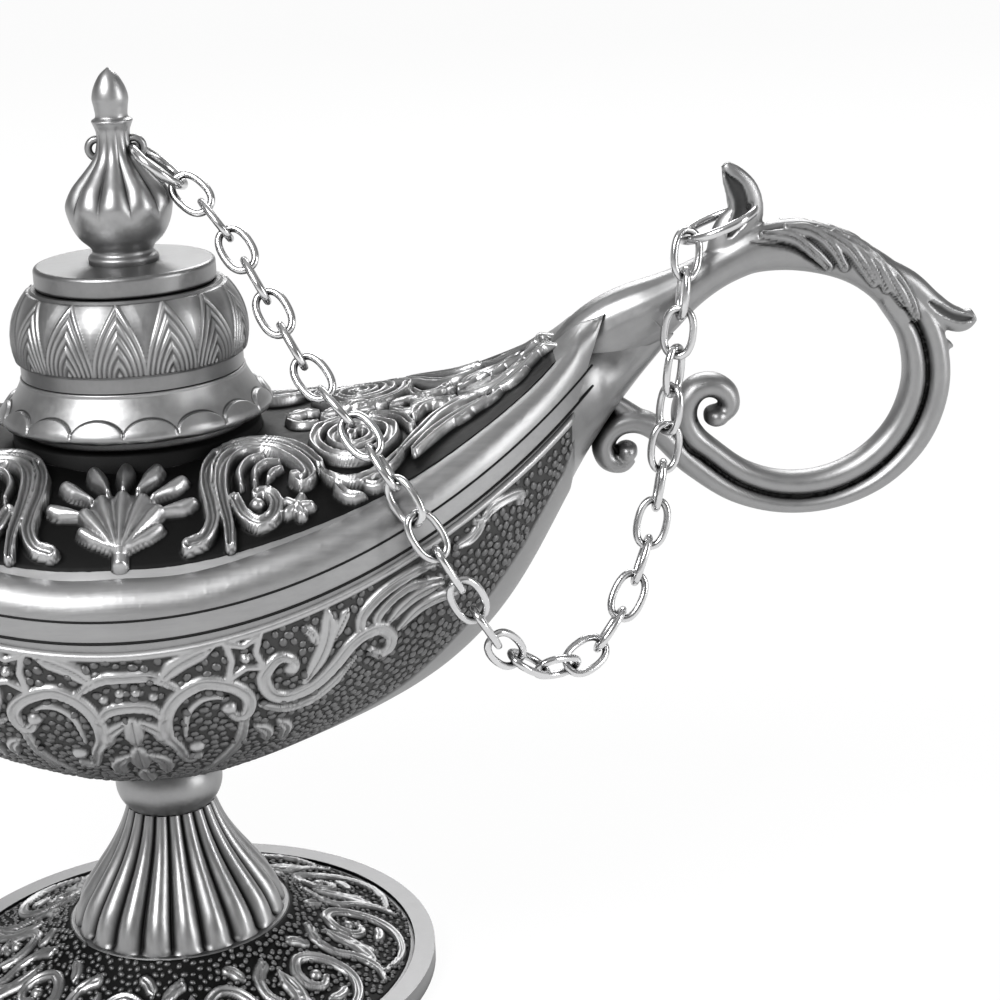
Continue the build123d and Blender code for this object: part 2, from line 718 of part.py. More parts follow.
# Screw and washer that hold cap and finial from inside the lid
finial_washer_z = roof - finial_washer_thickness
with BuildPart() as finial_screw:
    with Locations((0, 0, finial_washer_z)):
        upright = (Align.CENTER, Align.CENTER, Align.MIN)
        hanging = (Align.CENTER, Align.CENTER, Align.MAX)
        Cylinder(finial_screw_radius, screw_top - finial_washer_z, align=upright)
        Cylinder(finial_screw_head_radius, finial_screw_head_height, align=hanging)
    with Locations((0, 0, finial_washer_z - finial_screw_head_height)):
        Box(3 * finial_screw_head_radius, bolt_slot_width, finial_screw_head_height, mode=Mode.SUBTRACT)
finial_screw.part.label = "finial_screw"
export_step(finial_screw.part, "parts/finial_screw.step")

with BuildPart() as finial_washer:
    with BuildSketch(Plane.XY.offset(finial_washer_z)):
        Circle(finial_washer_radius)
        Circle(screw_hole_radius, mode=Mode.SUBTRACT)
    extrude(amount=finial_washer_thickness)
finial_washer.part.label = "finial_washer"
export_step(finial_washer.part, "parts/finial_washer.step")


def loop_point(radius, angle):
    """Point in the lamp's long section at an angle round the handle's loop."""
    return (loop_x + radius * cos(radians(angle)), loop_z + radius * sin(radians(angle)))


# Handle: tenoned neck, twin-rib loop, two volutes, thumb leaf and leaf spur in one casting
loop_start = loop_point(loop_radius, loop_start_angle)
loop_plane = heading_plane(*loop_start, loop_start_angle - 90)
loop_axis = Axis((loop_x, 0, loop_z), (0, 1, 0))
end_heading = (sin(radians(loop_end_angle)), -cos(radians(loop_end_angle)))
volute_center = (volute_x, rim_z + volute_rise)
curl_center = (curl_x, rim_z + curl_rise)
with BuildPart() as handle:
    with BuildSketch(joint_plane):
        Circle(handle_joint_radius)
    with BuildSketch(loop_plane):
        Ellipse(rib_depth + neck_lap, rib_offset + rib_radius + neck_lap)
    loft()
    with BuildSketch(loop_plane):
        with Locations((0, rib_offset), (0, -rib_offset)):
            Ellipse(rib_depth, rib_radius)
        Rectangle(rib_depth, 2 * rib_offset)
    revolve(axis=loop_axis, revolution_arc=loop_start_angle - loop_end_angle)
    with BuildLine(Plane.XZ) as volute_line:
        volute_root = loop_point(loop_radius - rib_offset, loop_end_angle)
        volute_left = (volute_center[0] - volute_radius, volute_center[1])
        TangentArc(volute_root, volute_left, tangent=end_heading)
        CenterArc(volute_center, volute_radius, start_angle=180, arc_size=-volute_sweep)
    with BuildSketch(Plane(origin=volute_line.line @ 0, x_dir=(0, 1, 0), z_dir=volute_line.line % 0)):
        Ellipse(rib_depth * scroll_taper, rib_radius * scroll_taper)
    sweep()
    with Locations((volute_center[0] + volute_radius / 2, 0, volute_center[1] - volute_radius / 3)):
        Sphere(volute_bulb_radius)
    with BuildLine(Plane.XZ) as curl_line:
        curl_root = loop_point(loop_radius + rib_offset, loop_end_angle)
        curl_top = (curl_center[0], curl_center[1] + curl_radius)
        TangentArc(curl_root, curl_top, tangent=end_heading)
        CenterArc(curl_center, curl_radius, start_angle=90, arc_size=curl_sweep)
    with BuildSketch(Plane(origin=curl_line.line @ 0, x_dir=(0, 1, 0), z_dir=curl_line.line % 0)):
        Ellipse(curl_depth, curl_rib_radius)
    sweep()
    with BuildSketch(Plane.XZ):
        with BuildLine():
            left, low = curl_center
            Polyline(*[(left + x * curl_radius, low + z * curl_radius) for x, z in bracket_shape], close=True)
        make_face()
    extrude(amount=bracket_thickness / 2, both=True)
    with BuildSketch(Plane.XZ):
        with BuildLine():
            edge = [(ear_x + x, ear_z + z) for x, z in ear_shape]
            ThreePointArc(edge[0], edge[1], edge[2])
            ThreePointArc(edge[2], edge[3], edge[4])
            ThreePointArc(edge[4], edge[5], edge[6])
            Line(edge[6], edge[0])
        make_face()
        with Locations((ear_x, ear_z)):
            Circle(ear_hole_radius, mode=Mode.SUBTRACT)
    extrude(amount=ear_thickness / 2, both=True)
    with BuildSketch(Plane.XZ):
        with BuildLine():
            rib_outside = loop_radius + rib_offset + rib_radius
            spur_root = loop_point(loop_radius, spur_root_angle)
            spur_back = loop_point(rib_outside, spur_back_angle)
            spur_tip = (loop_x + spur_reach, loop_z + spur_rise)
            spur_under = (spur_tip[0] - spur_notch[0], spur_tip[1] - spur_notch[1])
            spur_heel = loop_point(rib_outside, spur_heel_angle)
            Polyline(spur_root, spur_back, spur_tip, spur_under, spur_heel)
            Polyline(spur_heel, loop_point(loop_radius, spur_heel_angle), spur_root)
        make_face()
    extrude(amount=spur_thickness / 2, both=True)
    add(hull.part, mode=Mode.SUBTRACT)
    with BuildSketch(joint_plane):
        Circle(handle_tenon_radius)
    extrude(amount=-handle_tenon_length)
handle.part.label = "handle"
export_step(handle.part, "parts/handle.step")

# Split rings at the chain's ends, one through the finial's lug and one through the thumb leaf
hook_gap = ring_wire_radius + link_wire_radius + hook_play
finial_hole = Vector(lug_reach, 0, lug_z)
ear_hole = Vector(ear_x, 0, ear_z)


def ring_plane(hole, pull, radius, roll):
    """Plane of a ring that hangs from a hole across the lamp, pulled along a direction."""
    along = Vector(*pull).normalized()
    across = Vector(0, 1, 0) - along * along.Y
    face = along.cross(across).rotate(Axis((0, 0, 0), along), roll)
    return Plane(origin=hole + along * radius, x_dir=along, z_dir=face)


finial_ring_plane = ring_plane(finial_hole, finial_pull, finial_ring_radius, 0)
with BuildPart(finial_ring_plane) as finial_ring:
    Torus(finial_ring_radius, ring_wire_radius)
finial_ring.part.label = "finial_ring"
export_step(finial_ring.part, "parts/finial_ring.step")

ear_ring_plane = ring_plane(ear_hole, ear_pull, ear_ring_radius, ear_ring_roll)
with BuildPart(ear_ring_plane) as ear_ring:
    Torus(ear_ring_radius, ring_wire_radius)
ear_ring.part.label = "ear_ring"
export_step(ear_ring.part, "parts/ear_ring.step")

# Chain: soldered oval links, each turned a quarter from the last, along one hanging line
hook_reach = hook_gap - link_wire_radius - link_play / 2
chain_start = finial_ring_plane.origin + finial_ring_plane.x_dir * finial_ring_radius
chain_start -= Vector(*finial_hang).normalized() * hook_reach
chain_end = ear_ring_plane.origin + ear_ring_plane.x_dir * ear_ring_radius
chain_end += Vector(*ear_hang).normalized() * hook_reach
hang_points = [Vector(x * ear_x, y * bowl_half_width, rim_z + z * bowl_depth) for x, y, z in chain_hang]
with BuildLine():
    chain_route = Spline(chain_start, *hang_points, chain_end)
link_pitch = chain_route.length / chain_link_count
link_straight = (link_pitch + 2 * link_wire_radius + link_play) / 2 - link_half_width


def link_turn(share):
    """Turn of the link at a share of the chain's length."""
    for (low, turn_low), (high, turn_high) in zip(chain_twist, chain_twist[1:]):
        if share <= high:
            return turn_low + (turn_high - turn_low) * (share - low) / (high - low)
    return chain_twist[-1][1]


def link_plane(number):
    """Plane of a link's flat, with its x along the chain."""
    low = chain_route @ ((number - 1) / chain_link_count)
    high = chain_route @ (number / chain_link_count)
    along = (high - low).normalized()
    facing = Vector(*chain_facing)
    face = (facing - along * facing.dot(along)).normalized()
    turn = link_turn((number - 1) / (chain_link_count - 1)) + 90 * ((number + 1) % 2)
    return Plane(origin=(low + high) / 2, x_dir=along, z_dir=face.rotate(Axis((0, 0, 0), along), turn))


for number in range(1, chain_link_count + 1):
    with BuildPart() as chain_link:
        with BuildLine(link_plane(number)) as link_line:
            Line((-link_straight, link_half_width), (link_straight, link_half_width))
            nose = (link_straight + link_half_width, 0)
            ThreePointArc((link_straight, link_half_width), nose, (link_straight, -link_half_width))
            Line((link_straight, -link_half_width), (-link_straight, -link_half_width))
            tail = (-link_straight - link_half_width, 0)
            ThreePointArc((-link_straight, -link_half_width), tail, (-link_straight, link_half_width))
        with BuildSketch(Plane(origin=link_line.line @ 0, z_dir=link_line.line % 0)):
            Circle(link_wire_radius)
        sweep()
    chain_link.part.label = f"chain_link_{number:02d}"
    export_step(chain_link.part, f"parts/chain_link_{number:02d}.step")
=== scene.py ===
from math import cos, pi, radians, sin, sqrt

import bpy
import numpy as np
from mathutils import Matrix, Vector
from mathutils.bvhtree import BVHTree


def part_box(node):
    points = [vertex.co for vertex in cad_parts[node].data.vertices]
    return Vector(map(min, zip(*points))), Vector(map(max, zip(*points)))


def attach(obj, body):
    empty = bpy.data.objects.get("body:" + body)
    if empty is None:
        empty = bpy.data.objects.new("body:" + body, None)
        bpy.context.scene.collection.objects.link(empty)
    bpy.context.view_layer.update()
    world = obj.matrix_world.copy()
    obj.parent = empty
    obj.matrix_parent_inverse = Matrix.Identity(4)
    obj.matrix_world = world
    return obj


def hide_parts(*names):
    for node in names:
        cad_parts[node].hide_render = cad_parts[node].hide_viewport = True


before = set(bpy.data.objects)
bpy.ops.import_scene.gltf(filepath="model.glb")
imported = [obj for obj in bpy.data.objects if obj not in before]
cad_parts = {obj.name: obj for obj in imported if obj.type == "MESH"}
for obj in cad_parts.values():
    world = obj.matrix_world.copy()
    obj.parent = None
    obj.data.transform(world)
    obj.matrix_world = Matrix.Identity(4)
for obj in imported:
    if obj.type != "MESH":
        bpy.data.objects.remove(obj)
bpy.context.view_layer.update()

# Studio
# The lamp stands on a white sweep in a white room, under one big soft box and two smaller ones.
# Camera and metal see room and sweep as white, and the sweep still takes the lamp's shadow.
scene = bpy.context.scene
scene.view_settings.view_transform = "Standard"


class Tone:
    """A value, colour or shape on its way through a tree of nodes: sums on it add Math nodes."""

    def __init__(self, web, socket):
        self.web = web
        self.socket = socket

    def output(self, label):
        """Another output of the same node."""
        return Tone(self.web, self.socket.node.outputs[label])

    def sum(self, operation, one, two):
        return self.web.node("ShaderNodeMath", {"operation": operation}, {0: one, 1: two})

    def __add__(self, other):
        return self.sum("ADD", self, other)

    def __radd__(self, other):
        return self.sum("ADD", other, self)

    def __rsub__(self, other):
        return self.sum("SUBTRACT", other, self)

    def __mul__(self, other):
        return self.sum("MULTIPLY", self, other)

    def __rmul__(self, other):
        return self.sum("MULTIPLY", other, self)


class Web:
    """A tree of nodes, laid one node at a time."""

    def __init__(self, tree):
        self.tree = tree
        tree.nodes.clear()

    def node(self, kind, settings=None, values=None, output=0):
        made = self.tree.nodes.new(kind)
        for key, setting in (settings or {}).items():
            if key == "stops":
                ramp = made.color_ramp
                ramp.elements[0].position, ramp.elements[-1].position = setting[0][0], setting[-1][0]
                for place, grey in setting[1:-1]:
                    ramp.elements.new(place)
                for stop, (place, grey) in zip(ramp.elements, setting):
                    stop.color = (grey, grey, grey, 1)
            else:
                setattr(made, key, setting)
        for key, value in (values or {}).items():
            if isinstance(value, Tone):
                self.tree.links.new(value.socket, made.inputs[key])
            else:
                made.inputs[key].default_value = value
        return Tone(self, made.outputs[output])

    def end(self, kind, last):
        """Closes the tree with its output node."""
        self.tree.links.new(last.socket, self.tree.nodes.new(kind).inputs[0])


class Finish(Web):
    """The tree of a material or of the room."""

    def __init__(self, owner):
        owner.use_nodes = True
        self.owner = owner
        super().__init__(owner.node_tree)

    def mix(self, share, one, two):
        return self.node("ShaderNodeMix", {"data_type": "RGBA"}, {0: share, 6: one, 7: two}, 2)

    def noise(self, scale, detail, rough=0.5, brush=None):
        """Clouds in the piece's own space, stretched by brush where it is given."""
        place = self.node("ShaderNodeTexCoord", output="Object")
        if brush:
            place = self.node("ShaderNodeMapping", {}, {"Vector": place, "Scale": brush})
        values = {"Vector": place, "Scale": scale, "Detail": detail, "Roughness": rough}
        return self.node("ShaderNodeTexNoise", {}, values)

    def bump(self, height, strength, distance):
        return self.node("ShaderNodeBump", {}, {"Strength": strength, "Distance": distance, "Height": height})

    def mark(self, name):
        """A value that is stored on the piece's points."""
        return self.node("ShaderNodeAttribute", {"attribute_name": name}, {}, "Fac")

    def surface(self, values):
        """Closes a material with its surface."""
        self.end("ShaderNodeOutputMaterial", self.node("ShaderNodeBsdfPrincipled", {}, values))
        return self.owner


room = Finish(bpy.data.worlds.new("white_room"))
scene.world = room.owner
heading = room.node("ShaderNodeTexCoord", output="Generated")
height = room.node("ShaderNodeSeparateXYZ", {}, {0: heading}, 2)
ceiling = room.node(
    "ShaderNodeValToRGB", {"stops": [(0.0, 1.0), (0.08, 0.8), (0.3, 0.22), (0.6, 0.3), (1.0, 0.7)]},
    {0: height}
)
room_light = room.node("ShaderNodeBackground", {}, {"Color": ceiling, "Strength": 0.8})
room_seen = room.node("ShaderNodeBackground", {}, {"Color": (1, 1, 1, 1), "Strength": 1.0})
room_ray = room.node("ShaderNodeLightPath", output="Is Camera Ray")
room_mix = room.node("ShaderNodeMixShader", {}, {0: room_ray, 1: room_light, 2: room_seen})
room.end("ShaderNodeOutputWorld", room_mix)

sweep_reach = 3.0
sweep_mesh = bpy.data.meshes.new("white_sweep")
sweep_corners = [(-1, -1), (1, -1), (1, 1), (-1, 1)]
sweep_mesh.from_pydata([(x * sweep_reach, y * sweep_reach, 0) for x, y in sweep_corners], [], [(0, 1, 2, 3)])
sweep = bpy.data.objects.new("white_sweep", sweep_mesh)
scene.collection.objects.link(sweep)
sweep_paint = Finish(bpy.data.materials.new("sweep_white"))
sweep_board = sweep_paint.node("ShaderNodeBsdfDiffuse", {}, {"Color": (0.9, 0.9, 0.9, 1)})
sweep_glow = sweep_paint.node("ShaderNodeEmission", {}, {"Color": (1, 1, 1, 1), "Strength": 1.0})
camera_ray = sweep_paint.node("ShaderNodeLightPath", output="Is Camera Ray")
glossy_ray = sweep_paint.node("ShaderNodeLightPath", output="Is Glossy Ray")
sweep_share = 0.95 * camera_ray + 0.6 * glossy_ray
sweep_mix = sweep_paint.node("ShaderNodeMixShader", {}, {0: sweep_share, 1: sweep_board, 2: sweep_glow})
sweep_paint.end("ShaderNodeOutputMaterial", sweep_mix)
sweep_mesh.materials.append(sweep_paint.owner)


def soft_box(name, place, aim, width, tall, power):
    """A rectangular lamp at place that faces aim, in metres and watts."""
    light = bpy.data.lights.new(name, "AREA")
    light.shape = "RECTANGLE"
    light.size = width
    light.size_y = tall
    light.energy = power
    lamp = bpy.data.objects.new(name, light)
    lamp.location = place
    lamp.rotation_euler = (Vector(aim) - Vector(place)).to_track_quat("-Z", "Y").to_euler()
    scene.collection.objects.link(lamp)


soft_box("key_box", (-0.35, -0.45, 0.6), (0.0, 0.0, 0.06), 0.3, 0.3, 7.0)
soft_box("right_strip", (0.75, -0.3, 0.3), (0.03, 0.0, 0.06), 0.12, 0.5, 3.0)
soft_box("back_box", (0.1, 0.7, 0.55), (0.0, 0.0, 0.06), 0.6, 0.25, 4.0)

eye = Vector((0.02901, -0.25047, 0.13382))
yaw, pitch, roll = radians(2.5), radians(17.025), radians(2.31)
forward = Vector((sin(yaw) * cos(pitch), cos(yaw) * cos(pitch), -sin(pitch)))
level = Vector((cos(yaw), -sin(yaw), 0))
down = forward.cross(level)
right_hand = cos(roll) * level + sin(roll) * down
downward = -sin(roll) * level + cos(roll) * down
lens = bpy.data.cameras.new("photo_view")
lens.sensor_width = 36.0
lens.lens = 83.15
lens.clip_start = 0.01
lens.clip_end = 10.0
camera = bpy.data.objects.new("photo_view", lens)
camera.matrix_world = Matrix((right_hand, -downward, -forward)).transposed().to_4x4()
camera.location = eye
scene.collection.objects.link(camera)
scene.camera = camera

# Felt pad
# A disc of black wool felt, die-cut and glued into the hollow under the foot, so the lamp does not scratch.
# Its edge is soft and its face is fuzzy.
pad_low, pad_high = (corner * 1000 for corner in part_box("base_pad"))
pad_radius = pad_high.x


def lathe(profile, turns):
    """Points of a profile of (radius, height) in millimetres, turned about the lamp's upright axis."""
    angles = np.linspace(0, 2 * pi, turns, endpoint=False)
    rings = np.array(profile, float)
    points = np.empty((turns, len(rings), 3))
    points[:, :, 0] = np.cos(angles)[:, None] * rings[None, :, 0]
    points[:, :, 1] = np.sin(angles)[:, None] * rings[None, :, 0]
    points[:, :, 2] = rings[None, :, 1]
    return points


def placed(name, mesh, finish, body, marks=None):
    """A mesh as a piece in one finish, with marks: values for its points."""
    for mark, values in (marks or {}).items():
        layer = mesh.attributes.new(mark, "FLOAT", "POINT")
        layer.data.foreach_set("value", np.ascontiguousarray(values, dtype=np.float32).ravel())
    mesh.materials.clear()
    mesh.materials.append(finish)
    piece = bpy.data.objects.new(name, mesh)
    scene.collection.objects.link(piece)
    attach(piece, body)
    return piece


def lay(name, points, finish, body, around=False, inside=(0, 0, 55), marks=None):
    """A mesh piece from a grid of points in millimetres, facing away from the point inside."""
    long, wide = points.shape[:2]
    index = np.arange(long * wide).reshape(long, wide)
    ahead = np.roll(index, -1, 0) if around else index[1:]
    here = index if around else index[:-1]
    quads = np.stack([here[:, :-1], ahead[:, :-1], ahead[:, 1:], here[:, 1:]], -1).reshape(-1, 4)
    flat = points.reshape(-1, 3)
    middle = flat[quads].mean(1)
    facing = np.cross(flat[quads[:, 2]] - flat[quads[:, 0]], flat[quads[:, 3]] - flat[quads[:, 1]])
    if np.sum(facing * (middle - np.array(inside))) < 0:
        quads = quads[:, ::-1]
    mesh = bpy.data.meshes.new(name)
    mesh.from_pydata((flat * 0.001).tolist(), [], quads.tolist())
    mesh.shade_smooth()
    return placed(name, mesh, finish, body, marks)


felt = Finish(bpy.data.materials.new("black_felt"))
felt_fluff = felt.noise(1500.0, 6.0)
felt_tone = felt.mix(felt_fluff, (0.012, 0.012, 0.014, 1), (0.05, 0.05, 0.055, 1))
felt_bump = felt.bump(felt_fluff, 0.8, 0.0003)
black_felt = felt.surface(
    {"Base Color": felt_tone, "Roughness": 0.95, "Sheen Weight": 0.4, "Normal": felt_bump}
)
pad_edge = 0.35
pad_profile = [
    (0.01, pad_low.z),
    (pad_radius - pad_edge, pad_low.z),
    (pad_radius - 0.3 * pad_edge, pad_low.z + 0.3 * pad_edge),
    (pad_radius, pad_low.z + pad_edge),
    (pad_radius, pad_high.z - pad_edge),
    (pad_radius - pad_edge, pad_high.z),
    (0.01, pad_high.z),
]
pad = lay("felt_pad", lathe(pad_profile, 96), black_felt, "lamp", True, (0, 0, 0.6))
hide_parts("base_pad")

# Foot
# A round cast foot with a plain turned rim, and a field of scrolls and leaves on a ground of pebbles.
# The casting is plated in pewter, blackened, and rubbed bright again on its high points.


def pewter(
    name, bright, worn, rough, carved=False, brush=(900.0, 900.0, 900.0), ground=0.012,
    shade_reach=0.0022
):
    """Blackened pewter: grey metal with fine scratches along the brushing. Ambient occlusion takes it to the
    ground colour in corners, hollows and between parts, which is painted shade as well as blackening, and on
    carved pieces a low relief mark does the same.
    """
    finish = Finish(bpy.data.materials.new(name))
    cloud = finish.noise(190.0, 5.0, 0.6)
    scratch = finish.noise(1.0, 3.0, 0.7, brush)
    # Ambient occlusion: painted shade in corners, hollows and between parts, which also stands for the
    # blackening in the hollows.
    corner = finish.node(
        "ShaderNodeAmbientOcclusion", {"samples": 6, "only_local": False}, {"Distance": shade_reach}, "AO"
    )
    free_of_shade_and_patina = finish.node("ShaderNodeValToRGB", {"stops": [(0.25, 0.0), (0.8, 1.0)]}, {0: corner})
    # A low relief mark takes the metal to the ground colour: blackening on most carved pieces, painted shade
    # in the stem's reed hollows and on the cover's ground.
    if carved:
        risen = finish.node(
            "ShaderNodeValToRGB", {"stops": [(0.05, 0.0), (0.3, 0.3), (0.75, 1.0)]},
            {0: finish.mark("relief")}
        )
        free_of_shade_and_patina = free_of_shade_and_patina * risen
    metal = finish.mix(
        cloud, (bright * 0.78, bright * 0.78, bright * 0.79, 1), (bright, bright, bright * 1.01, 1)
    )
    scratched = finish.mix(scratch * 0.5, metal, (worn, worn, worn, 1))
    # The ground colour is both painted shade and the blackening of the hollows.
    tone = finish.mix(free_of_shade_and_patina, (ground, ground, ground, 1), scratched)
    dull = rough + 0.16 * scratch + 0.2 * (1 - free_of_shade_and_patina)
    bump = finish.bump(scratch, 0.25, 0.00006)
    return finish.surface({"Base Color": tone, "Metallic": 1.0, "Roughness": dull, "Normal": bump})


def dress(node, finish):
    """Gives a solid that stays its finish."""
    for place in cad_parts[node].material_slots:
        place.material = finish


plain_pewter = pewter("plain_pewter", 0.3, 0.44, 0.32)
carved_pewter = pewter("carved_pewter", 0.34, 0.5, 0.32, True)
pebble_pewter = pewter("pebble_pewter", 0.13, 0.22, 0.42)
# The foot's rim is a darker copy of the same pewter: painted shade for the darker reflection on the rim.
shaded_rim_pewter = pewter("shaded_rim_pewter", 0.2, 0.3, 0.36)
dress("foot", shaded_rim_pewter)


def skin_of(node):
    """The solid's own surface, to lay relief on."""
    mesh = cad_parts[node].data
    return BVHTree.FromPolygons(
        [v.co * 1000 for v in mesh.vertices], [tuple(p.vertices) for p in mesh.polygons]
    )


def flowing(line, steps):
    """A smooth run of points through the given ones; every column runs smoothly."""
    points = np.array(line, float)
    if len(points) < 3:
        share = np.linspace(0, 1, steps + 1)[:, None]
        return points[:1] + share * (points[-1:] - points[:1])
    padded = np.vstack([2 * points[0] - points[1], points, 2 * points[-1] - points[-2]])
    runs = []
    for k in range(len(points) - 1):
        a, b, c, d = padded[k : k + 4]
        t = np.linspace(0, 1, steps, endpoint=False)[:, None]
        runs.append(
            0.5 * (
                2 * b + (c - a) * t + (2 * a - 5 * b + 4 * c - d) * t**2 + (3 * b - a - 3 * c + d) * t**3
            )
        )
    return np.vstack(runs + [points[-1:]])


def ribbon(q):
    """Flat strap with two raised edges."""
    rise = np.clip((1.2 - q) / 0.4, 0, 1)
    valley = np.clip((0.6 - q) / 0.4, 0, 1)
    return rise**2 * (3 - 2 * rise) * (1 - 0.42 * valley**2 * (3 - 2 * valley))


def bead(q):
    """Half-round stem, berry or petal."""
    return np.sqrt(np.clip(1 - q**2, 0, 1))


def leaf(q):
    """Half-round leaf with a sunk vein."""
    return bead(q) * (1 - 0.55 * np.exp(-((q / 0.17) ** 2)))


def carve(points, strokes):
    """Relief height at points from strokes of (line, half widths, section, height), all in millimetres."""
    relief = np.zeros(len(points))
    for line, halves, section, height in strokes:
        reach = 1.3 * halves.max()
        near = np.all((points > line.min(0) - reach) & (points < line.max(0) + reach), 1).nonzero()[0]
        if len(near) == 0:
            continue
        best = np.full(len(near), 9.0)
        spot = points[near]
        for start, stop, half_start, half_stop in zip(line[:-1], line[1:], halves[:-1], halves[1:]):
            run = stop - start
            share = np.clip((spot - start) @ run / max(run @ run, 1e-9), 0, 1)
            away = np.linalg.norm(spot - start - share[:, None] * run, axis=1)
            best = np.minimum(best, away / (half_start + share * (half_stop - half_start)))
        relief[near] = np.maximum(relief[near], height * section(best))
    return relief


def tapered(line, ends):
    """Half widths along a line: start, one or two in the middle, end."""
    share = np.linspace(0, 1, len(line))
    middle = ends[1:-1] if len(ends) == 4 else (ends[1], ends[1])
    return np.interp(share, [0, 0.25, 0.75, 1], [ends[0], *middle, ends[-1]])


def laid(strokes, onto):
    """Strokes ready to carve: onto puts the points of each smooth line in their place."""
    lines = []
    for line, ends, section, rise in strokes:
        path = onto(flowing(line, 6))
        lines.append((path, tapered(path, ends), section, rise))
    return lines


def berry(x, y, half, rise):
    """A stroke so short that it makes one round berry."""
    return [(x, y), (round(x + 0.05, 2), y)], (half, half, half), bead, rise


def raised(points, inside, lift):
    """A grid of points moved out by lift, away from the point inside."""
    facing = np.cross(np.gradient(points, axis=0), np.gradient(points, axis=1))
    facing /= np.maximum(np.linalg.norm(facing, axis=2, keepdims=True), 1e-9)
    if np.sum(facing * (points - np.array(inside))) < 0:
        facing = -facing
    return points + facing * lift[:, :, None]


def chased(name, shape, lift, middle, finish, body, marks):
    """A turned piece with its relief raised, away from the height middle on the axis."""
    inside = (0, 0, middle)
    return lay(name, raised(shape, inside, lift), finish, body, True, inside, marks)


foot_skin = skin_of("foot")
field_inside, field_outside, field_margin = 12.5, 27.5, 0.1
field_radii = np.linspace(field_inside, field_outside, 84)
field_heights = np.array([foot_skin.ray_cast((r, 0, 40), (0, 0, -1))[0][2] for r in field_radii])
field = lathe(np.stack([field_radii, field_heights], 1), 720)
scroll_count = 10
foot_scroll = [
    (-6.5, 25.4), (-3, 26.2), (0.5, 25.2), (3, 22.8), (3.6, 20), (2.4, 17.8), (0.2, 17), (-1.6, 18.1),
    (-1.8, 20), (-0.5, 21.2), (0.8, 20.6)
]
foot_answer = [(4.6, 25.9), (6.2, 24.2), (6.7, 21.5), (5.6, 19), (6.0, 16.6), (7.8, 15.2)]
foot_strokes = [
    (foot_scroll, (0.3, 0.62, 0.4), ribbon, 0.6),
    (foot_answer, (0.3, 0.55, 0.3), ribbon, 0.5),
    berry(0.2, 19.6, 0.75, 0.7),
    ([(-5.6, 23.9), (-3.6, 20.6), (-3.6, 17)], (0.2, 1.1, 0.15), leaf, 0.55),
    ([(-7.2, 17.4), (-5.8, 16.2), (-4.4, 15.6)], (0.2, 0.85, 0.15), leaf, 0.5),
    ([(3.9, 16.6), (3.0, 15.4), (1.6, 14.8)], (0.2, 0.75, 0.15), leaf, 0.5),
    ([(1.2, 23.0), (0.0, 23.4), (-1.6, 23.0)], (0.2, 0.7, 0.15), leaf, 0.5),
    ([(8.6, 23.4), (8.9, 21.4), (8.2, 19.6)], (0.2, 0.8, 0.15), leaf, 0.5),
]


def on_field(run, turn):
    """Points of the foot's field for (way round, radius), all turned by an angle."""
    angle = run[:, 0] / 20 + turn
    height = np.interp(run[:, 1], field_radii, field_heights)
    return np.stack([run[:, 1] * np.cos(angle), run[:, 1] * np.sin(angle), height], 1)


field_lines = []
for turn in range(scroll_count):
    field_lines += laid(foot_strokes, lambda run: on_field(run, 2 * pi * turn / scroll_count))
field_relief = carve(field.reshape(-1, 3), field_lines).reshape(field.shape[:2])
field_depth = np.minimum(field_radii - field_inside, field_outside - field_radii) - field_margin
field_edge = np.clip(field_depth / 0.5, 0, 1)
field_pebbled = ((field_relief < 0.03) * (field_edge > 0.9)[None, :]).astype(float)
field_lift = np.where(
    field_edge[None, :] > 0, 0.1 + field_relief, -0.3
) * field_edge[None, :] - 0.2 * (1 - field_edge[None, :])
field_marks = {"relief": field_relief / 0.5, "pebbled": field_pebbled}
foot_field = chased("foot_field", field, field_lift, -60, carved_pewter, "lamp", field_marks)


def growth_web(name, measures):
    """A tree that grows a piece on a start mesh, and its inputs by name: measures and a finish."""
    tree = bpy.data.node_groups.new(name, "GeometryNodeTree")
    inputs = {"Start": "Geometry", **measures, "Finish": "Material"}
    for label, kind in inputs.items():
        tree.interface.new_socket(label, in_out="INPUT", socket_type="NodeSocket" + kind)
    tree.interface.new_socket("Piece", in_out="OUTPUT", socket_type="NodeSocketGeometry")
    web = Web(tree)
    start = web.node("NodeGroupInput")
    return web, {label: start.output(label) for label in inputs}


def full_grown(web, shape, given):
    """The tree, closed: its shape is smooth and has its finish."""
    smooth = web.node("GeometryNodeSetShadeSmooth", {}, {"Geometry": shape})
    painted = web.node("GeometryNodeSetMaterial", {}, {"Geometry": smooth, "Material": given["Finish"]})
    web.end("NodeGroupOutput", painted)
    return web.tree


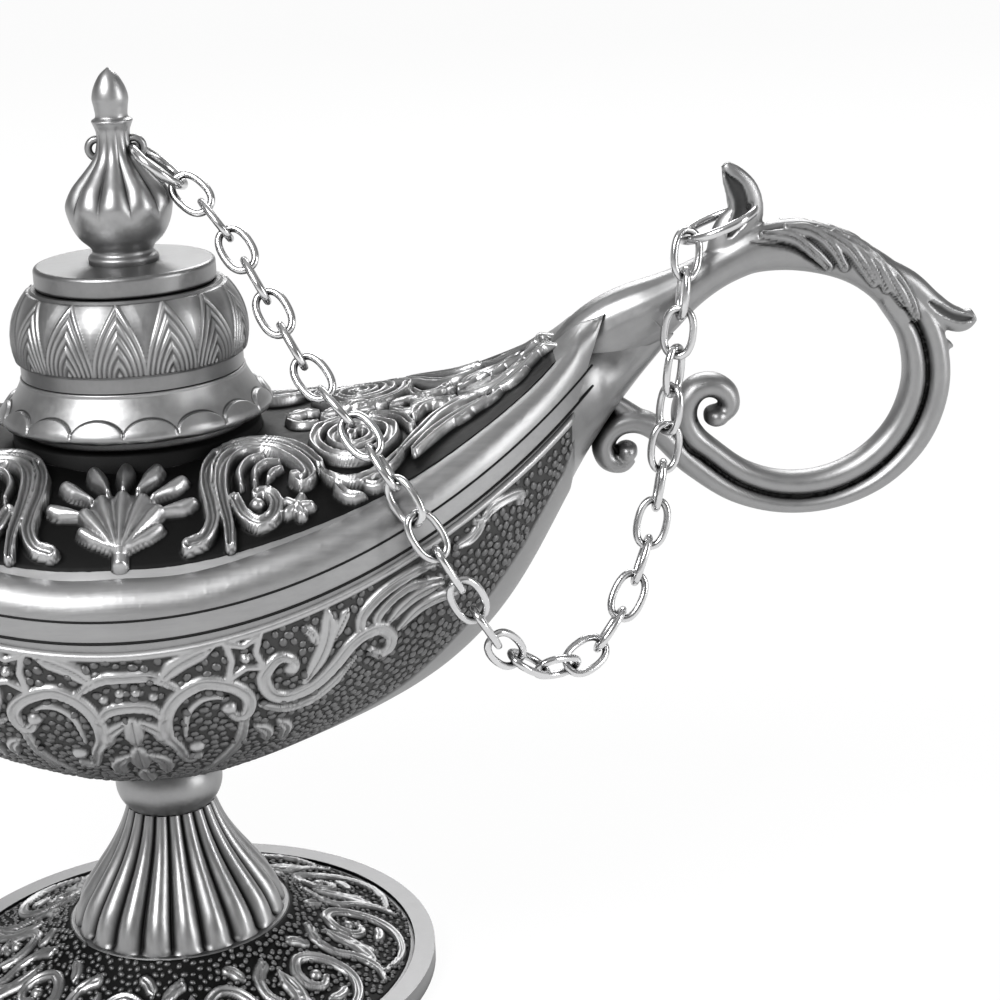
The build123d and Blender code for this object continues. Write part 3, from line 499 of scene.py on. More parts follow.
def pebble_tree():
    """Pebbles strewn over a carved ground: small flat ovals, each turned its own way."""
    measures = dict.fromkeys(("Length", "Breadth", "Rise", "Spacing"), "Float")
    web, given = growth_web("pebble_ground", {**measures, "Seed": "Int"})
    where = web.node(
        "GeometryNodeInputNamedAttribute", {"data_type": "FLOAT"}, {"Name": "pebbled"}, "Attribute"
    )
    strew = web.node(
        "GeometryNodeDistributePointsOnFaces", {"distribute_method": "POISSON"},
        {
            "Mesh": given["Start"], "Distance Min": given["Spacing"], "Density Max": 6.0e6,
            "Density Factor": where, "Seed": given["Seed"]
        },
        "Points"
    )
    pebble = web.node("GeometryNodeMeshUVSphere", {}, {"Segments": 8, "Rings": 5, "Radius": 0.5}, "Mesh")
    spin = web.node("FunctionNodeRandomValue", {"data_type": "FLOAT"}, {3: 2 * pi}, 1)
    turn = web.node("FunctionNodeAxisAngleToRotation", {}, {"Axis": (0, 0, 1), "Angle": spin})
    turned = web.node(
        "FunctionNodeRotateRotation", {"rotation_space": "LOCAL"}, {0: strew.output("Rotation"), 1: turn}
    )
    size = web.node("ShaderNodeCombineXYZ", {}, {0: given["Length"], 1: given["Breadth"], 2: given["Rise"]})
    vary = web.node("FunctionNodeRandomValue", {"data_type": "FLOAT"}, {2: 0.8, 3: 1.15}, 1)
    scale = web.node("ShaderNodeVectorMath", {"operation": "SCALE"}, {0: size, "Scale": vary})
    pebbles = web.node(
        "GeometryNodeInstanceOnPoints", {},
        {"Points": strew, "Instance": pebble, "Rotation": turned, "Scale": scale}, "Instances"
    )
    return full_grown(web, web.node("GeometryNodeRealizeInstances", {}, {0: pebbles}), given)


def grown(name, start, tree, settings, body):
    """A plain mesh piece made by a tree on a start mesh."""
    piece = bpy.data.objects.new(name, start)
    scene.collection.objects.link(piece)
    growth = piece.modifiers.new("growth", "NODES")
    growth.node_group = tree
    for item in tree.interface.items_tree:
        if item.in_out == "INPUT" and item.name in settings:
            growth[item.identifier] = settings[item.name]
    shown = piece.evaluated_get(bpy.context.evaluated_depsgraph_get())
    mesh = bpy.data.meshes.new_from_object(shown)
    mesh.name = name
    piece.modifiers.remove(growth)
    piece.data = mesh
    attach(piece, body)
    return piece


strewn = pebble_tree()
grown(
    "foot_pebbles", foot_field.data.copy(), strewn,
    {
        "Length": 0.0009, "Breadth": 0.00068, "Rise": 0.0006, "Spacing": 0.00078, "Seed": 5,
        "Finish": pebble_pewter
    },
    "lamp"
)

# Stem, knop and centre bolt
# The stem is a flared casting with twenty reeds, and the knop over it is turned.
# A steel bolt and washer under the foot clamp both to the bowl.
reed_pewter = pewter("reed_pewter", 0.32, 0.5, 0.3, True, (1500.0, 1500.0, 90.0), 0.014, 0.002)
stem_reeds, reed_steps = 20, 26
stem_rises = np.linspace(8.5, 22.65, 70)
stem_radii = 5.1 + 7.3 * np.interp(
    stem_rises, [8.5, 11.4, 14.2, 17.0, 19.8, 22.6], [1.0, 0.88, 0.62, 0.35, 0.14, 0.0]
)
stem_radii = np.convolve(np.pad(stem_radii, 6, mode="reflect", reflect_type="odd"), np.ones(13) / 13, "valid")
stem_shape = lathe(np.stack([stem_radii, stem_rises], 1), stem_reeds * reed_steps)
reed_across = np.abs(np.sin(np.arange(stem_reeds * reed_steps) * pi / reed_steps))[:, None]
reed_deep = np.interp(stem_rises, [8.5, 9.2, 12.0, 18.0, 22.6], [0.2, 1.1, 1.25, 0.8, 0.55])[None, :]
stem_lift = reed_deep * (reed_across**0.75 - 0.9)
# Painted shade: the hollows between the reeds are darkened through the relief mark, the ridges kept bright.
reed_hollow_shade = np.clip(1.25 * reed_across**0.9 - 0.1, 0, 1) * np.ones_like(stem_lift)
stem_skin = chased("reeded_stem", stem_shape, stem_lift, 10, reed_pewter, "lamp", {"relief": reed_hollow_shade})
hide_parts("stem")
dress("knop", plain_pewter)
turned_steel = pewter("turned_steel", 0.4, 0.5, 0.3, False, (1500.0, 1500.0, 60.0))
dress("centre_bolt", turned_steel)
dress("bolt_washer", turned_steel)

# Bowl
# A boat-shaped casting that runs out into the spout, with scrolls, leaves and a star flower in low relief.
# The ground is sunk and blackened, and both ends are filled with oval pebbles.
dress("bowl", plain_pewter)
bowl_pewter = pewter("bowl_pewter", 0.42, 0.58, 0.34, True, (900.0, 900.0, 900.0), 0.075)
pebble_dull = pewter("pebble_dull", 0.15, 0.24, 0.42, False, (900.0, 900.0, 900.0), 0.05, 0.001)
bowl_skin = skin_of("bowl")
rim_arc_radius, rim_arc_back = 62.9131, 32.4131
rim_low, rim_sheer, rim_half_length = 53.4, 16.5, 48.5


def rim_half_width(x):
    """Half the width of the rim at x: each side is an arc."""
    return sqrt(rim_arc_radius**2 - x * x) - rim_arc_back


def rim_height(x):
    """The rim's height at x: it rises to both ends."""
    return rim_low + rim_sheer * (x / rim_half_length) ** 2


def finer(grid, count):
    """A coarse grid of points made smooth and fine along its first way."""
    steps = np.linspace(0, len(grid) - 1, count)
    before = np.minimum(steps.astype(int), len(grid) - 2)
    t = (steps - before)[:, None, None]
    padded = np.concatenate([2 * grid[:1] - grid[1:2], grid, 2 * grid[-1:] - grid[-2:-1]])
    a, b, c, d = (padded[before + k] for k in range(4))
    return 0.5 * (2 * b + (c - a) * t + (2 * a - 5 * b + 4 * c - d) * t**2 + (3 * b - a - 3 * c + d) * t**3)


def mirrored(half, flip=1):
    """A grid's right half with its mirror image to the left of it."""
    return np.concatenate([half[:0:-1] * flip, half])


hull_end = 48.6
hull_top, hull_keel = 1.5, 90
hull_columns, hull_rows = 250, 180
hull_places = np.linspace(0, hull_end, 28)
hull_angles = np.linspace(hull_top, hull_keel, 19)
hull_coarse = np.zeros((len(hull_places), len(hull_angles), 3))
for i, x in enumerate(hull_places):
    for j, a in enumerate(hull_angles):
        aim = Vector(
            (0, -cos(radians(a)) * rim_half_width(x), -sin(radians(a)) * (24.6 - 0.3 * x))
        ).normalized()
        core = Vector((x, 0, rim_height(x)))
        hull_coarse[i, j] = bowl_skin.ray_cast(core + aim * 80, -aim)[0]
hull_fine = finer(finer(hull_coarse, hull_columns).transpose(1, 0, 2), hull_rows).transpose(1, 0, 2)
hull_x = np.linspace(0, hull_end, hull_columns)
hull_a = np.linspace(hull_top, hull_keel, hull_rows)


def on_hull(run):
    """Points of the bowl's front for (x, degrees down from the rim)."""
    i = np.interp(np.abs(run[:, 0]), hull_x, np.arange(hull_columns))
    j = np.interp(run[:, 1], hull_a, np.arange(hull_rows))
    i0 = np.minimum(i.astype(int), hull_columns - 2)
    j0 = np.minimum(j.astype(int), hull_rows - 2)
    u, v = (i - i0)[:, None], (j - j0)[:, None]
    spot = (1 - u) * ((1 - v) * hull_fine[i0, j0] + v * hull_fine[i0, j0 + 1])
    spot += u * ((1 - v) * hull_fine[i0 + 1, j0] + v * hull_fine[i0 + 1, j0 + 1])
    spot[:, 0] = run[:, 0]
    return spot


bowl_strokes = [
    (
        [
            (6.1, 41), (4.8, 41), (4.1, 34), (3.3, 29), (3.4, 23), (4.3, 18), (5.8, 15), (7.8, 14),
            (10.1, 17), (11.5, 21), (12.0, 25), (11.5, 29), (10.6, 29), (9.9, 26)
        ],
        (0.35, 0.75, 0.5), ribbon, 0.62
    ),
    berry(6.0, 36.5, 0.85, 0.75),
    berry(9.9, 25, 0.8, 0.75),
    ([(5.1, 31), (5.7, 23), (7.1, 19.5), (8.6, 19.5), (9.6, 21)], (0.2, 0.4, 0.2), bead, 0.45),
    ([(11.3, 31), (10.4, 40), (8.5, 47), (6.1, 53)], (0.5, 0.6, 0.2), ribbon, 0.5),
    ([(12.2, 36), (13.2, 41), (13.0, 46)], (0.2, 0.8, 0.2), leaf, 0.5),
    ([(14.6, 38), (15.2, 44), (14.4, 50)], (0.2, 0.8, 0.2), leaf, 0.5),
    (
        [
            (17.0, 19), (16.5, 16), (15.3, 14), (14.2, 16), (13.6, 19), (14.1, 25), (15.5, 29),
            (17.6, 30), (19.2, 29), (20.9, 26), (22.6, 22), (24.2, 21), (25.8, 23), (26.8, 29),
            (26.5, 33), (25.4, 33), (24.6, 29)
        ],
        (0.4, 0.75, 0.4), ribbon, 0.62
    ),
    berry(16.5, 19.5, 0.85, 0.75),
    ([(13.0, 28), (15.4, 34), (18.0, 36), (20.7, 33), (23, 28)], (0.3, 0.5, 0.2), ribbon, 0.5),
    ([(17.6, 27), (19.6, 20), (20.6, 12), (20.5, 4.5)], (0.3, 1.0, 0.15), leaf, 0.6),
    ([(18.1, 7.5), (18.9, 11), (19.2, 15)], (0.15, 0.6, 0.2), leaf, 0.5),
    ([(22.6, 8.5), (22.0, 12), (21.0, 16.5)], (0.15, 0.6, 0.2), leaf, 0.5),
    (
        [(23.7, 19), (24.0, 14), (25.5, 10.5), (27.7, 9), (30.3, 10), (32.4, 13)], (0.5, 0.6, 0.25),
        ribbon, 0.55
    ),
    ([(25.3, 22), (25.7, 17), (27.6, 14), (29.7, 15), (32.3, 20)], (0.4, 0.5, 0.2), ribbon, 0.5),
    ([(26.6, 22.5), (28.4, 20), (30.2, 20), (32.5, 23)], (0.3, 0.8, 0.2), leaf, 0.5),
    ([(27.6, 28), (29.8, 26), (32.0, 28), (34.0, 33)], (0.3, 0.8, 0.2), leaf, 0.5),
    berry(12.0, 10.2, 0.55, 0.8),
    ([(3.2, 11), (5.0, 7.5), (7.0, 5.5), (9.0, 4.2)], (0.3, 1.0, 0.15), leaf, 0.55),
    ([(-2.8, 9.5), (0.0, 8.6), (2.8, 9.5), (5.2, 14)], (0.4, 0.6, 0.3), ribbon, 0.55),
    ([(-3.4, 22), (-2.2, 18.6), (0.0, 17.2), (2.2, 18.6), (3.2, 22)], (0.4, 0.7, 0.4), ribbon, 0.55),
    ([(0, 21.5), (0, 30.5)], (0.5, 1.1, 0.2), leaf, 0.6),
    ([(0.9, 22.5), (2.5, 27), (2.9, 32)], (0.4, 0.85, 0.2), leaf, 0.55),
    ([(0, 32), (0, 43)], (0.4, 1.15, 0.2), leaf, 0.6),
    ([(1.2, 36), (2.4, 41), (2.3, 48)], (0.3, 0.9, 0.2), leaf, 0.55),
    ([(0, 45), (0, 56)], (0.4, 1.0, 0.2), leaf, 0.55),
    berry(0.8, 13.3, 0.5, 0.5),
    berry(2.5, 15.2, 0.5, 0.5),
    ([(34.1, 12), (35.7, 13.5), (36.7, 11), (36.2, 7.5)], (0.3, 0.6, 0.3), ribbon, 0.55),
    ([(36.9, 10), (38.1, 8), (39.8, 10), (41.2, 14), (41.2, 18)], (0.3, 0.6, 0.4), ribbon, 0.55),
    ([(-0.5, 3.4), (12, 3.4), (24, 3.4), (36, 3.6), (48, 5.0)], (0.5, 0.5, 0.5), bead, 0.4),
]
star_corners = [
    (10.2, 4.2), (11.9, 6.4), (13.6, 4.6), (13.1, 9.6), (13.8, 15.2), (12.0, 13.2), (10.1, 15.2),
    (10.7, 9.8)
]
for corner, following in zip(star_corners, star_corners[1:] + star_corners[:1]):
    bowl_strokes.append(([corner, following], (0.42, 0.42, 0.42), bead, 0.55))

hull_lines = laid(bowl_strokes, on_hull)
hull_relief = carve(hull_fine.reshape(-1, 3), hull_lines).reshape(hull_fine.shape[:2])
hull_near_axis = np.hypot(hull_fine[:, :, 0], hull_fine[:, :, 1])
hull_fade = np.clip((hull_end - hull_x) / 1.2, 0, 1)[:, None] * np.clip((hull_a - 1.6) / 1.0, 0, 1)[None, :]
hull_fade = hull_fade * np.clip((hull_near_axis - 5.6) / 0.8, 0, 1)
hull_border = np.interp(hull_x, [0, 27.5, 34.4, 41.4, 46.3, 48.5], [70, 60, 54, 45, 33, 16])[:, None]
hull_plain = np.clip((hull_a[None, :] - hull_border) / 1.5, 0, 1)
hull_pebbled = (hull_relief < 0.03) * (hull_fade > 0.9) * (hull_plain < 0.05)
hull_lift = hull_fade * (0.12 + np.maximum(hull_relief, 0.25 * hull_plain)) - 0.3 * (1 - hull_fade)
hull_tone = np.maximum(hull_relief / 0.5, 0.5 * hull_plain)
hull_laid = raised(hull_fine, (0, 0, 60), hull_lift)
for side, facing in (("front", 1), ("back", -1)):
    whole = mirrored(hull_laid, (-1, 1, 1)) * (1, facing, 1)
    sheet = lay(
        "bowl_relief_" + side, whole, bowl_pewter, "lamp", False, (0, 0, 60),
        {"relief": mirrored(hull_tone), "pebbled": mirrored(hull_pebbled).astype(float)}
    )
    grown(
        "bowl_pebbles_" + side, sheet.data.copy(), strewn,
        {
            "Length": 0.00115, "Breadth": 0.00092, "Rise": 0.0005, "Spacing": 0.00088, "Seed": 11,
            "Finish": pebble_dull
        },
        "lamp"
    )

# Wick and wick tube
# A drawn brass tube is pushed into the mouth of the spout and holds a braided cotton wick.
# Three strands are wound round each other, and the end is charred.
tube_brass = Finish(bpy.data.materials.new("dull_brass"))
brass_cloud = tube_brass.noise(700.0, 4.0)
brass_tone = tube_brass.mix(brass_cloud, (0.5, 0.36, 0.15, 1), (0.72, 0.56, 0.3, 1))
brass_dull = 0.3 + 0.2 * brass_cloud
dress("wick_tube", tube_brass.surface({"Base Color": brass_tone, "Metallic": 1.0, "Roughness": brass_dull}))

cotton = Finish(bpy.data.materials.new("wick_cotton"))
# Painted shade: the cotton is darker where the strands meet and lighter on their crowns.
cotton_with_strand_shade = cotton.mix(cotton.mark("crown"), (0.35, 0.31, 0.24, 1), (0.82, 0.78, 0.68, 1))
cotton_tone = cotton.mix(cotton.mark("char"), cotton_with_strand_shade, (0.015, 0.013, 0.012, 1))
cotton_bump = cotton.bump(cotton.noise(4000.0, 4.0), 0.7, 0.0001)
wick_cotton = cotton.surface({"Base Color": cotton_tone, "Roughness": 0.95, "Normal": cotton_bump})

wick_skin = skin_of("wick")
wick_low, wick_high = (corner * 1000 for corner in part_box("wick"))
wick_radius, wick_aside = 1.2, 0.05
wick_tip_gap, wick_root_gap, wick_rounding = 1.4, 2.4, 0.6
strand_out, strand_radius, strand_pitch, strand_sides = 0.57, 0.6, 6.0, 24
char_length, char_fade = 1.0, 1.6
wick_middles = []
for x in np.linspace(wick_low.x + wick_tip_gap, wick_high.x - wick_root_gap, 60):
    above = wick_skin.ray_cast((x, wick_aside, 200), (0, 0, -1))[0]
    below = wick_skin.ray_cast((x, wick_aside, -50), (0, 0, 1))[0]
    wick_middles.append((x, 0, (above[2] + below[2]) / 2))
wick_middles = np.array(wick_middles)
wick_ends = []
for last, before, limit in ((0, 1, wick_low.x), (-1, -2, wick_high.x)):
    run = wick_middles[last] - wick_middles[before]
    run /= np.linalg.norm(run)
    stop = limit - np.sign(run[0]) * wick_radius * abs(run[2])
    wick_ends.append(wick_middles[last] + run * (stop - wick_middles[last, 0]) / run[0])
wick_line = flowing(np.vstack([wick_ends[0], wick_middles, wick_ends[1]]), 7)
wick_run = np.gradient(wick_line, axis=0)
wick_run /= np.linalg.norm(wick_run, axis=1, keepdims=True)
wick_up = np.cross(wick_run, (0, 1.0, 0))
wick_far = np.concatenate([[0], np.cumsum(np.linalg.norm(np.diff(wick_line, axis=0), axis=1))])
strand_turn = np.linspace(0, 2 * pi, strand_sides, endpoint=False)
strand_side = (strand_turn + pi / 3) % (2 * pi / 3) - pi / 3
strand_edge = strand_out * np.cos(strand_side) + np.sqrt(
    strand_radius**2 - (strand_out * np.sin(strand_side)) ** 2
)
wick_from_end = np.minimum(wick_far, wick_far[-1] - wick_far)
wick_close = np.sqrt(np.clip(wick_from_end / wick_rounding, 0.0004, 1))
wick_angle = strand_turn[:, None] + 2 * pi * wick_far[None, :] / strand_pitch
wick_reach = (strand_edge[:, None] * wick_close[None, :])[:, :, None]
wick_across = np.cos(wick_angle)[:, :, None] * np.array((0, 1.0, 0))
wick_upward = np.sin(wick_angle)[:, :, None] * wick_up[None, :, :]
wick_points = wick_line[None, :, :] + wick_reach * (wick_across + wick_upward)
# The crown mark: 1 on the strands' crowns, 0 where they meet, for the painted shade between the strands.
wick_crown = (strand_edge - strand_edge.min()) / np.ptp(strand_edge)
wick_marks = {
    "char": np.clip(1 - (wick_far - char_length) / char_fade, 0, 1)[None, :] * np.ones((strand_sides, 1)),
    "crown": wick_crown[:, None] * np.ones((1, len(wick_line))),
}
braided_wick = lay(
    "braided_wick", wick_points, wick_cotton, "lamp", True, (-60, 0, 75), wick_marks
)
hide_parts("wick")

# Cover
# A domed casting with a plain brushed band round its edge, pinned to the bowl's rim.
# Its dome is openwork: scrolls, a shell and leaves stand over a ground painted black, as painted shade for
# the dark inside seen through the openings.
# Both ends are worked down to the spout's root and to the handle's neck.
band_pewter = pewter("band_pewter", 0.32, 0.48, 0.36, False, (70.0, 1600.0, 1600.0))
cover_pewter = pewter("cover_pewter", 0.46, 0.66, 0.28, True)
hood_start, hood_height, hood_slope = 48.5, 78.6, 0.35
spout_root = (47.2, 51.0, 0.12)
neck_root = (48.5, 51.0, 0.82)
hood_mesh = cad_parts["cover"].data.copy()
hood_mesh.name = "domed_cover"
for corner in hood_mesh.vertices:
    x, z = corner.co.x * 1000, corner.co.z * 1000
    past = abs(x) - hood_start
    if past > 0:
        z = min(z, hood_height + hood_slope * past)
    root_start, root_end, root_share = spout_root if x < 0 else neck_root
    sunk = min(max((abs(x) - root_start) / (root_end - root_start), 0), 1)
    seam_z = rim_height(x)
    if z > seam_z:
        z = seam_z + (z - seam_z) * (1 - (1 - root_share) * sunk**2 * (3 - 2 * sunk))
    corner.co.z = 0.001 * z
domed_cover = placed("domed_cover", hood_mesh, band_pewter, "lamp")
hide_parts("cover")
dress("cover_pins", turned_steel)
cover_skin = skin_of("cover")
dome_end = 47.0
dome_columns, dome_rows = 300, 150
dome_places = np.linspace(0, dome_end, 30)
dome_shares = np.linspace(0, 1, 17)
dome_coarse = np.zeros((len(dome_places), len(dome_shares), 3))
for i, x in enumerate(dome_places):
    width = rim_half_width(x)
    inner = width - min(3.0, 0.55 * width)
    edge = rim_height(x) + 5.9
    crown = 67.2 + np.interp(x, [0, 13, 25, 33.5, 40, 45, 49], [0, 0, 0.2, 1.4, 3.6, 6.8, 10.4])
    for j, share in enumerate(dome_shares):
        guess = edge + (crown - edge) * (1 - share**3.17)
        found = cover_skin.ray_cast((x, -inner * share, 110), (0, 0, -1))[0]
        if found is None or abs(found[2] - guess) > 0.8:
            found = (x, -inner * share, guess)
        dome_coarse[i, j] = found
dome_fine = finer(finer(dome_coarse, dome_columns).transpose(1, 0, 2), dome_rows).transpose(1, 0, 2)
dome_x = np.linspace(0, dome_end, dome_columns)


def on_dome(run):
    """Points of the dome's front half for (x, y)."""
    i = np.interp(np.abs(run[:, 0]), dome_x, np.arange(dome_columns)).round().astype(int)
    i = np.clip(i, 0, dome_columns - 1)
    rows = dome_fine[i]
    j = np.abs(rows[:, :, 1] - np.minimum(run[:, 1], 0)[:, None]).argmin(1)
    return np.stack([run[:, 0], run[:, 1], rows[np.arange(len(run)), j, 2]], 1)


cover_strokes = [
    ([(0.0, -18.3), (0.0, -14.4)], (0.4, 0.6, 1.2, 0.9), bead, 1.5),
    ([(1.6, -18.6), (3.3, -15.0)], (0.4, 0.6, 1.15, 0.9), bead, 1.5),
    ([(3.2, -19.6), (6.0, -17.2)], (0.4, 0.6, 1.1, 0.85), bead, 1.4),
    ([(4.2, -21.4), (7.2, -20.4)], (0.4, 0.6, 1.05, 0.8), bead, 1.3),
    berry(0.0, -22.0, 4.1, 1.25),
    ([(0.0, -25.4), (0.0, -19.4)], (0.3, 0.5, 0.95, 0.95), bead, 1.75),
    ([(0.25, -25.4), (2.1, -19.9)], (0.3, 0.5, 0.95, 0.95), bead, 1.7),
    ([(0.5, -25.4), (3.7, -21.4)], (0.3, 0.5, 0.95, 0.9), bead, 1.55),
    ([(0.6, -25.4), (3.9, -23.4)], (0.3, 0.5, 0.8, 0.7), bead, 1.4),
    ([(0.0, -25.4), (0.0, -26.6)], (0.9, 0.9, 0.9), bead, 1.1),
    (
        [
            (7.0, -25.2), (8.6, -24.6), (9.4, -23.0), (9.2, -21.2), (8.6, -18.4), (8.6, -15.4),
            (9.4, -12.6)
        ],
        (0.8, 0.75, 0.6), ribbon, 1.5
    ),
    (
        [
            (11.2, -25.4), (11.0, -23.3), (10.4, -20.8), (10.0, -17.8), (10.2, -14.8), (11.2, -12.4),
            (13.0, -11.2), (15.2, -11.4), (17.2, -13.0), (18.8, -15.4), (19.4, -17.4), (18.6, -18.4),
            (17.8, -17.4)
        ],
        (0.5, 0.8, 0.6), ribbon, 1.5
    ),
    berry(17.9, -17.6, 0.9, 1.5),
    (
        [(9.6, -11.6), (11.4, -9.6), (14.0, -8.8), (16.6, -9.8), (18.6, -12.0), (20.4, -15.2)],
        (0.4, 0.7, 0.5), ribbon, 1.3
    ),
    (
        [
            (11.6, -20.4), (12.6, -22.4), (14.2, -23.4), (15.6, -22.6), (15.9, -21.0), (15.0, -19.7),
            (13.8, -19.8)
        ],
        (0.7, 0.75, 0.5), ribbon, 1.4
    ),
    berry(13.9, -21.2, 0.95, 1.5),
    ([(12.2, -18.4), (11.9, -16.0), (12.8, -13.6), (14.4, -12.8)], (0.3, 0.5, 0.3), bead, 1.2),
    ([(13.6, -17.8), (13.6, -15.8), (14.6, -14.4), (16.0, -14.2)], (0.3, 0.5, 0.3), bead, 1.2),
    ([(15.0, -17.2), (15.4, -16.0), (16.4, -15.4)], (0.25, 0.45, 0.25), bead, 1.1),
    (
        [(20.4, -16.6), (22.4, -18.5), (25.0, -18.8), (27.6, -17.2), (29.4, -14.8)], (0.3, 0.65, 0.3),
        ribbon, 1.25
    ),
    ([(22.0, -18.8), (23.2, -20.6), (25.2, -21.2)], (0.2, 0.8, 0.15), leaf, 1.15),
    ([(24.8, -19.2), (26.4, -20.0), (28.2, -19.4)], (0.2, 0.75, 0.15), leaf, 1.15),
    ([(28.9, -15.4), (31.1, -11.7), (33.3, -7.5), (35.8, -5.2), (38.0, -5.4)], (0.4, 1.1, 0.5), leaf, 1.3),
    ([(30.6, -15.4), (33.2, -11.8), (36.0, -9.2), (38.8, -8.0)], (0.4, 0.75, 0.4), ribbon, 1.2),
    ([(30.8, -5.4), (31.6, -2.6), (33.6, -2.0), (35.0, -3.2)], (0.4, 0.7, 0.5), ribbon, 1.2),
    ([(30.6, -1.2), (32.6, 0)], (0.3, 0.7, 0.7), leaf, 1.0),
    ([(36.2, -2.4), (38.8, -3.4), (41.4, -2.6), (43.6, -0.8)], (0.4, 0.85, 0.4), leaf, 1.1),
    ([(39.8, -6.2), (42.0, -4.6), (44.6, -2.8), (46.2, -1.2)], (0.4, 0.6, 0.3), ribbon, 1.0),
    ([(37.0, -0.6), (40.0, 0)], (0.3, 0.6, 0.5), leaf, 0.9),
]
for place in range(8):
    x = 16.6 + 3.9 * place
    cover_strokes.append(([(x, -0.8), (x + 1.8, -2.6), (x + 3.4, -2.2)], (0.3, 0.8, 0.3), leaf, 1.1))
for place in range(4):
    x = 31.0 + 3.2 * place
    cover_strokes.append(
        (
            [(x, -12.6 + 2.2 * place), (x + 1.6, -12.4 + 2.2 * place), (x + 3.0, -11.2 + 2.2 * place)],
            (0.3, 0.6, 0.3), leaf, 1.0
        )
    )
rose_turn = np.linspace(0, 5 * pi, 34)
rose_share = np.linspace(1, 0.12, 34)
rose = np.stack([24.6 + 5.8 * rose_share * np.cos(rose_turn), -9.2 + 7.4 * rose_share * np.sin(rose_turn)], 1)
cover_strokes.append((rose, (0.5, 0.75, 0.6), ribbon, 1.3))
for turn in range(5):
    petal = 2 * pi * turn / 5
    tip = (18.1 + 1.35 * cos(petal), -21.6 + 1.2 * sin(petal))
    cover_strokes.append(
        ([(18.1 + 0.5 * cos(petal), -21.6 + 0.4 * sin(petal)), tip], (0.4, 0.7, 0.6), bead, 1.2)
    )
cover_strokes.append(berry(18.1, -21.6, 0.5, 1.4))
dome_lines = laid(cover_strokes, on_dome)
dome_lines += [(path * (1, -1, 1), *stroke) for path, *stroke in dome_lines]
dome_relief = carve(dome_fine.reshape(-1, 3), dome_lines).reshape(dome_fine.shape[:2])
dome_radius = np.hypot(dome_fine[:, :, 0], dome_fine[:, :, 1])
dome_near_band = np.clip((dome_rows - 1 - np.arange(dome_rows)) / 5, 0, 1)
dome_fade = np.clip((dome_end - dome_x) / 1.0, 0, 1)[:, None] * dome_near_band[None, :]
dome_fade = dome_fade * np.clip((dome_radius - 13.3) / 0.5, 0, 1)
dome_lift = dome_fade * (0.1 + dome_relief) - 0.3 * (1 - dome_fade)
dome_laid = raised(dome_fine, (0, 0, 0), dome_lift)
for side, facing in (("front", 1), ("back", -1)):
    whole = mirrored(dome_laid, (-1, 1, 1)) * (1, facing, 1)
    # The low ground takes the near-black ground colour through the relief mark: painted shade for the dark
    # inside seen through the openwork.
    lay(
        "cover_relief_on_shaded_ground_" + side, whole, cover_pewter, "lamp", False, (0, 0, 0),
        {"relief": mirrored(dome_relief) / 0.8}
    )

seam_end, groove_start = 50.4, -47.6
seam_places = np.linspace(-seam_end, seam_end, 160)
painted_shade_black = pewter("painted_shade_black", 0.02, 0.03, 0.6)


def drawn(name, path, radius, finish):
    """A thin round line along a path: painted shade in a seam or a turned groove."""
    ahead = np.gradient(path, axis=0)
    ahead /= np.linalg.norm(ahead, axis=1, keepdims=True)
    across = np.cross(ahead, (0, 0, 1.0))
    across /= np.linalg.norm(across, axis=1, keepdims=True)
    above = np.cross(across, ahead)
    turn = np.linspace(0, 2 * pi, 9)
    points = path[:, None, :] + radius * (
        across[:, None, :] * np.cos(turn)[None, :, None] + above[:, None, :] * np.sin(turn)[None, :, None]
    )
    return lay(name, points, finish, "lamp", False, tuple(path.mean(0)))


# Black lines in the seam over the bowl's rim and in the band's groove: painted shade.
for side, facing in (("front", -1), ("back", 1)):
    for name, rise, radius in (("seam", 0.0, 0.16), ("groove", 2.3, 0.13)):
        places = seam_places if name == "seam" else seam_places[seam_places > groove_start]
        path = np.array([(x, facing * rim_half_width(x), rim_height(x) + rise) for x in places])
        drawn("cover_" + name + "_" + side, path, radius, painted_shade_black)

# Collar and clinch ring
# The cast collar stands in the cover's mouth, with a lobed edge under its flare.
# A steel ring rolled over its spigot holds it from inside.
dress("clinch_ring", turned_steel)
# A black ring on the seat under the collar: painted shade.
seat_profile = [(11.0, 68.34), (13.5, 68.34), (13.7, 68.1), (13.7, 64.6)]
lay("collar_seat_shadow", lathe(seat_profile, 96), painted_shade_black, "lamp", True, (0, 0, 62))
petal_count = 16
petal_steps = 36
petal_turns = petal_count * petal_steps
collar_profile = flowing(
    [
        (10.3, 74.5), (12.15, 74.6), (12.4, 74.1), (12.85, 73.2), (13.4, 72.3), (14.1, 71.4),
        (14.6, 70.7), (14.6, 70.2), (13.6, 69.9), (12.4, 69.5), (12.2, 68.3), (10.3, 68.2), (10.3, 74.5)
    ],
    14
)
collar_shape = lathe(collar_profile, petal_turns)
petal_across = ((np.arange(petal_turns) / petal_steps) % 1 - 0.5) * 2
petal_top = 70.55 + 1.55 * np.sqrt(np.clip(1 - petal_across**2, 0, 1))
petal_side = np.hypot(collar_shape[:, :, 0], collar_shape[:, :, 1]) > 13.0
petal_depth = np.clip((petal_top[:, None] - collar_shape[:, :, 2]) / 0.22, -1, 1)
petal_rise = np.where(petal_side, np.clip(petal_depth, 0, 1), 0)
petal_line = np.where(
    petal_side, np.exp(-((petal_top[:, None] + 0.08 - collar_shape[:, :, 2]) / 0.13) ** 2), 0
)
collar_lift = 0.42 * petal_rise * (0.72 + 0.28 * np.sqrt(np.clip(1 - petal_across**2, 0, 1)))[:, None]
collar_marks = {"relief": 1 - 0.9 * petal_line}
collar_skin = chased("scalloped_collar", collar_shape, collar_lift, 71, carved_pewter, "lamp", collar_marks)
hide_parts("collar")

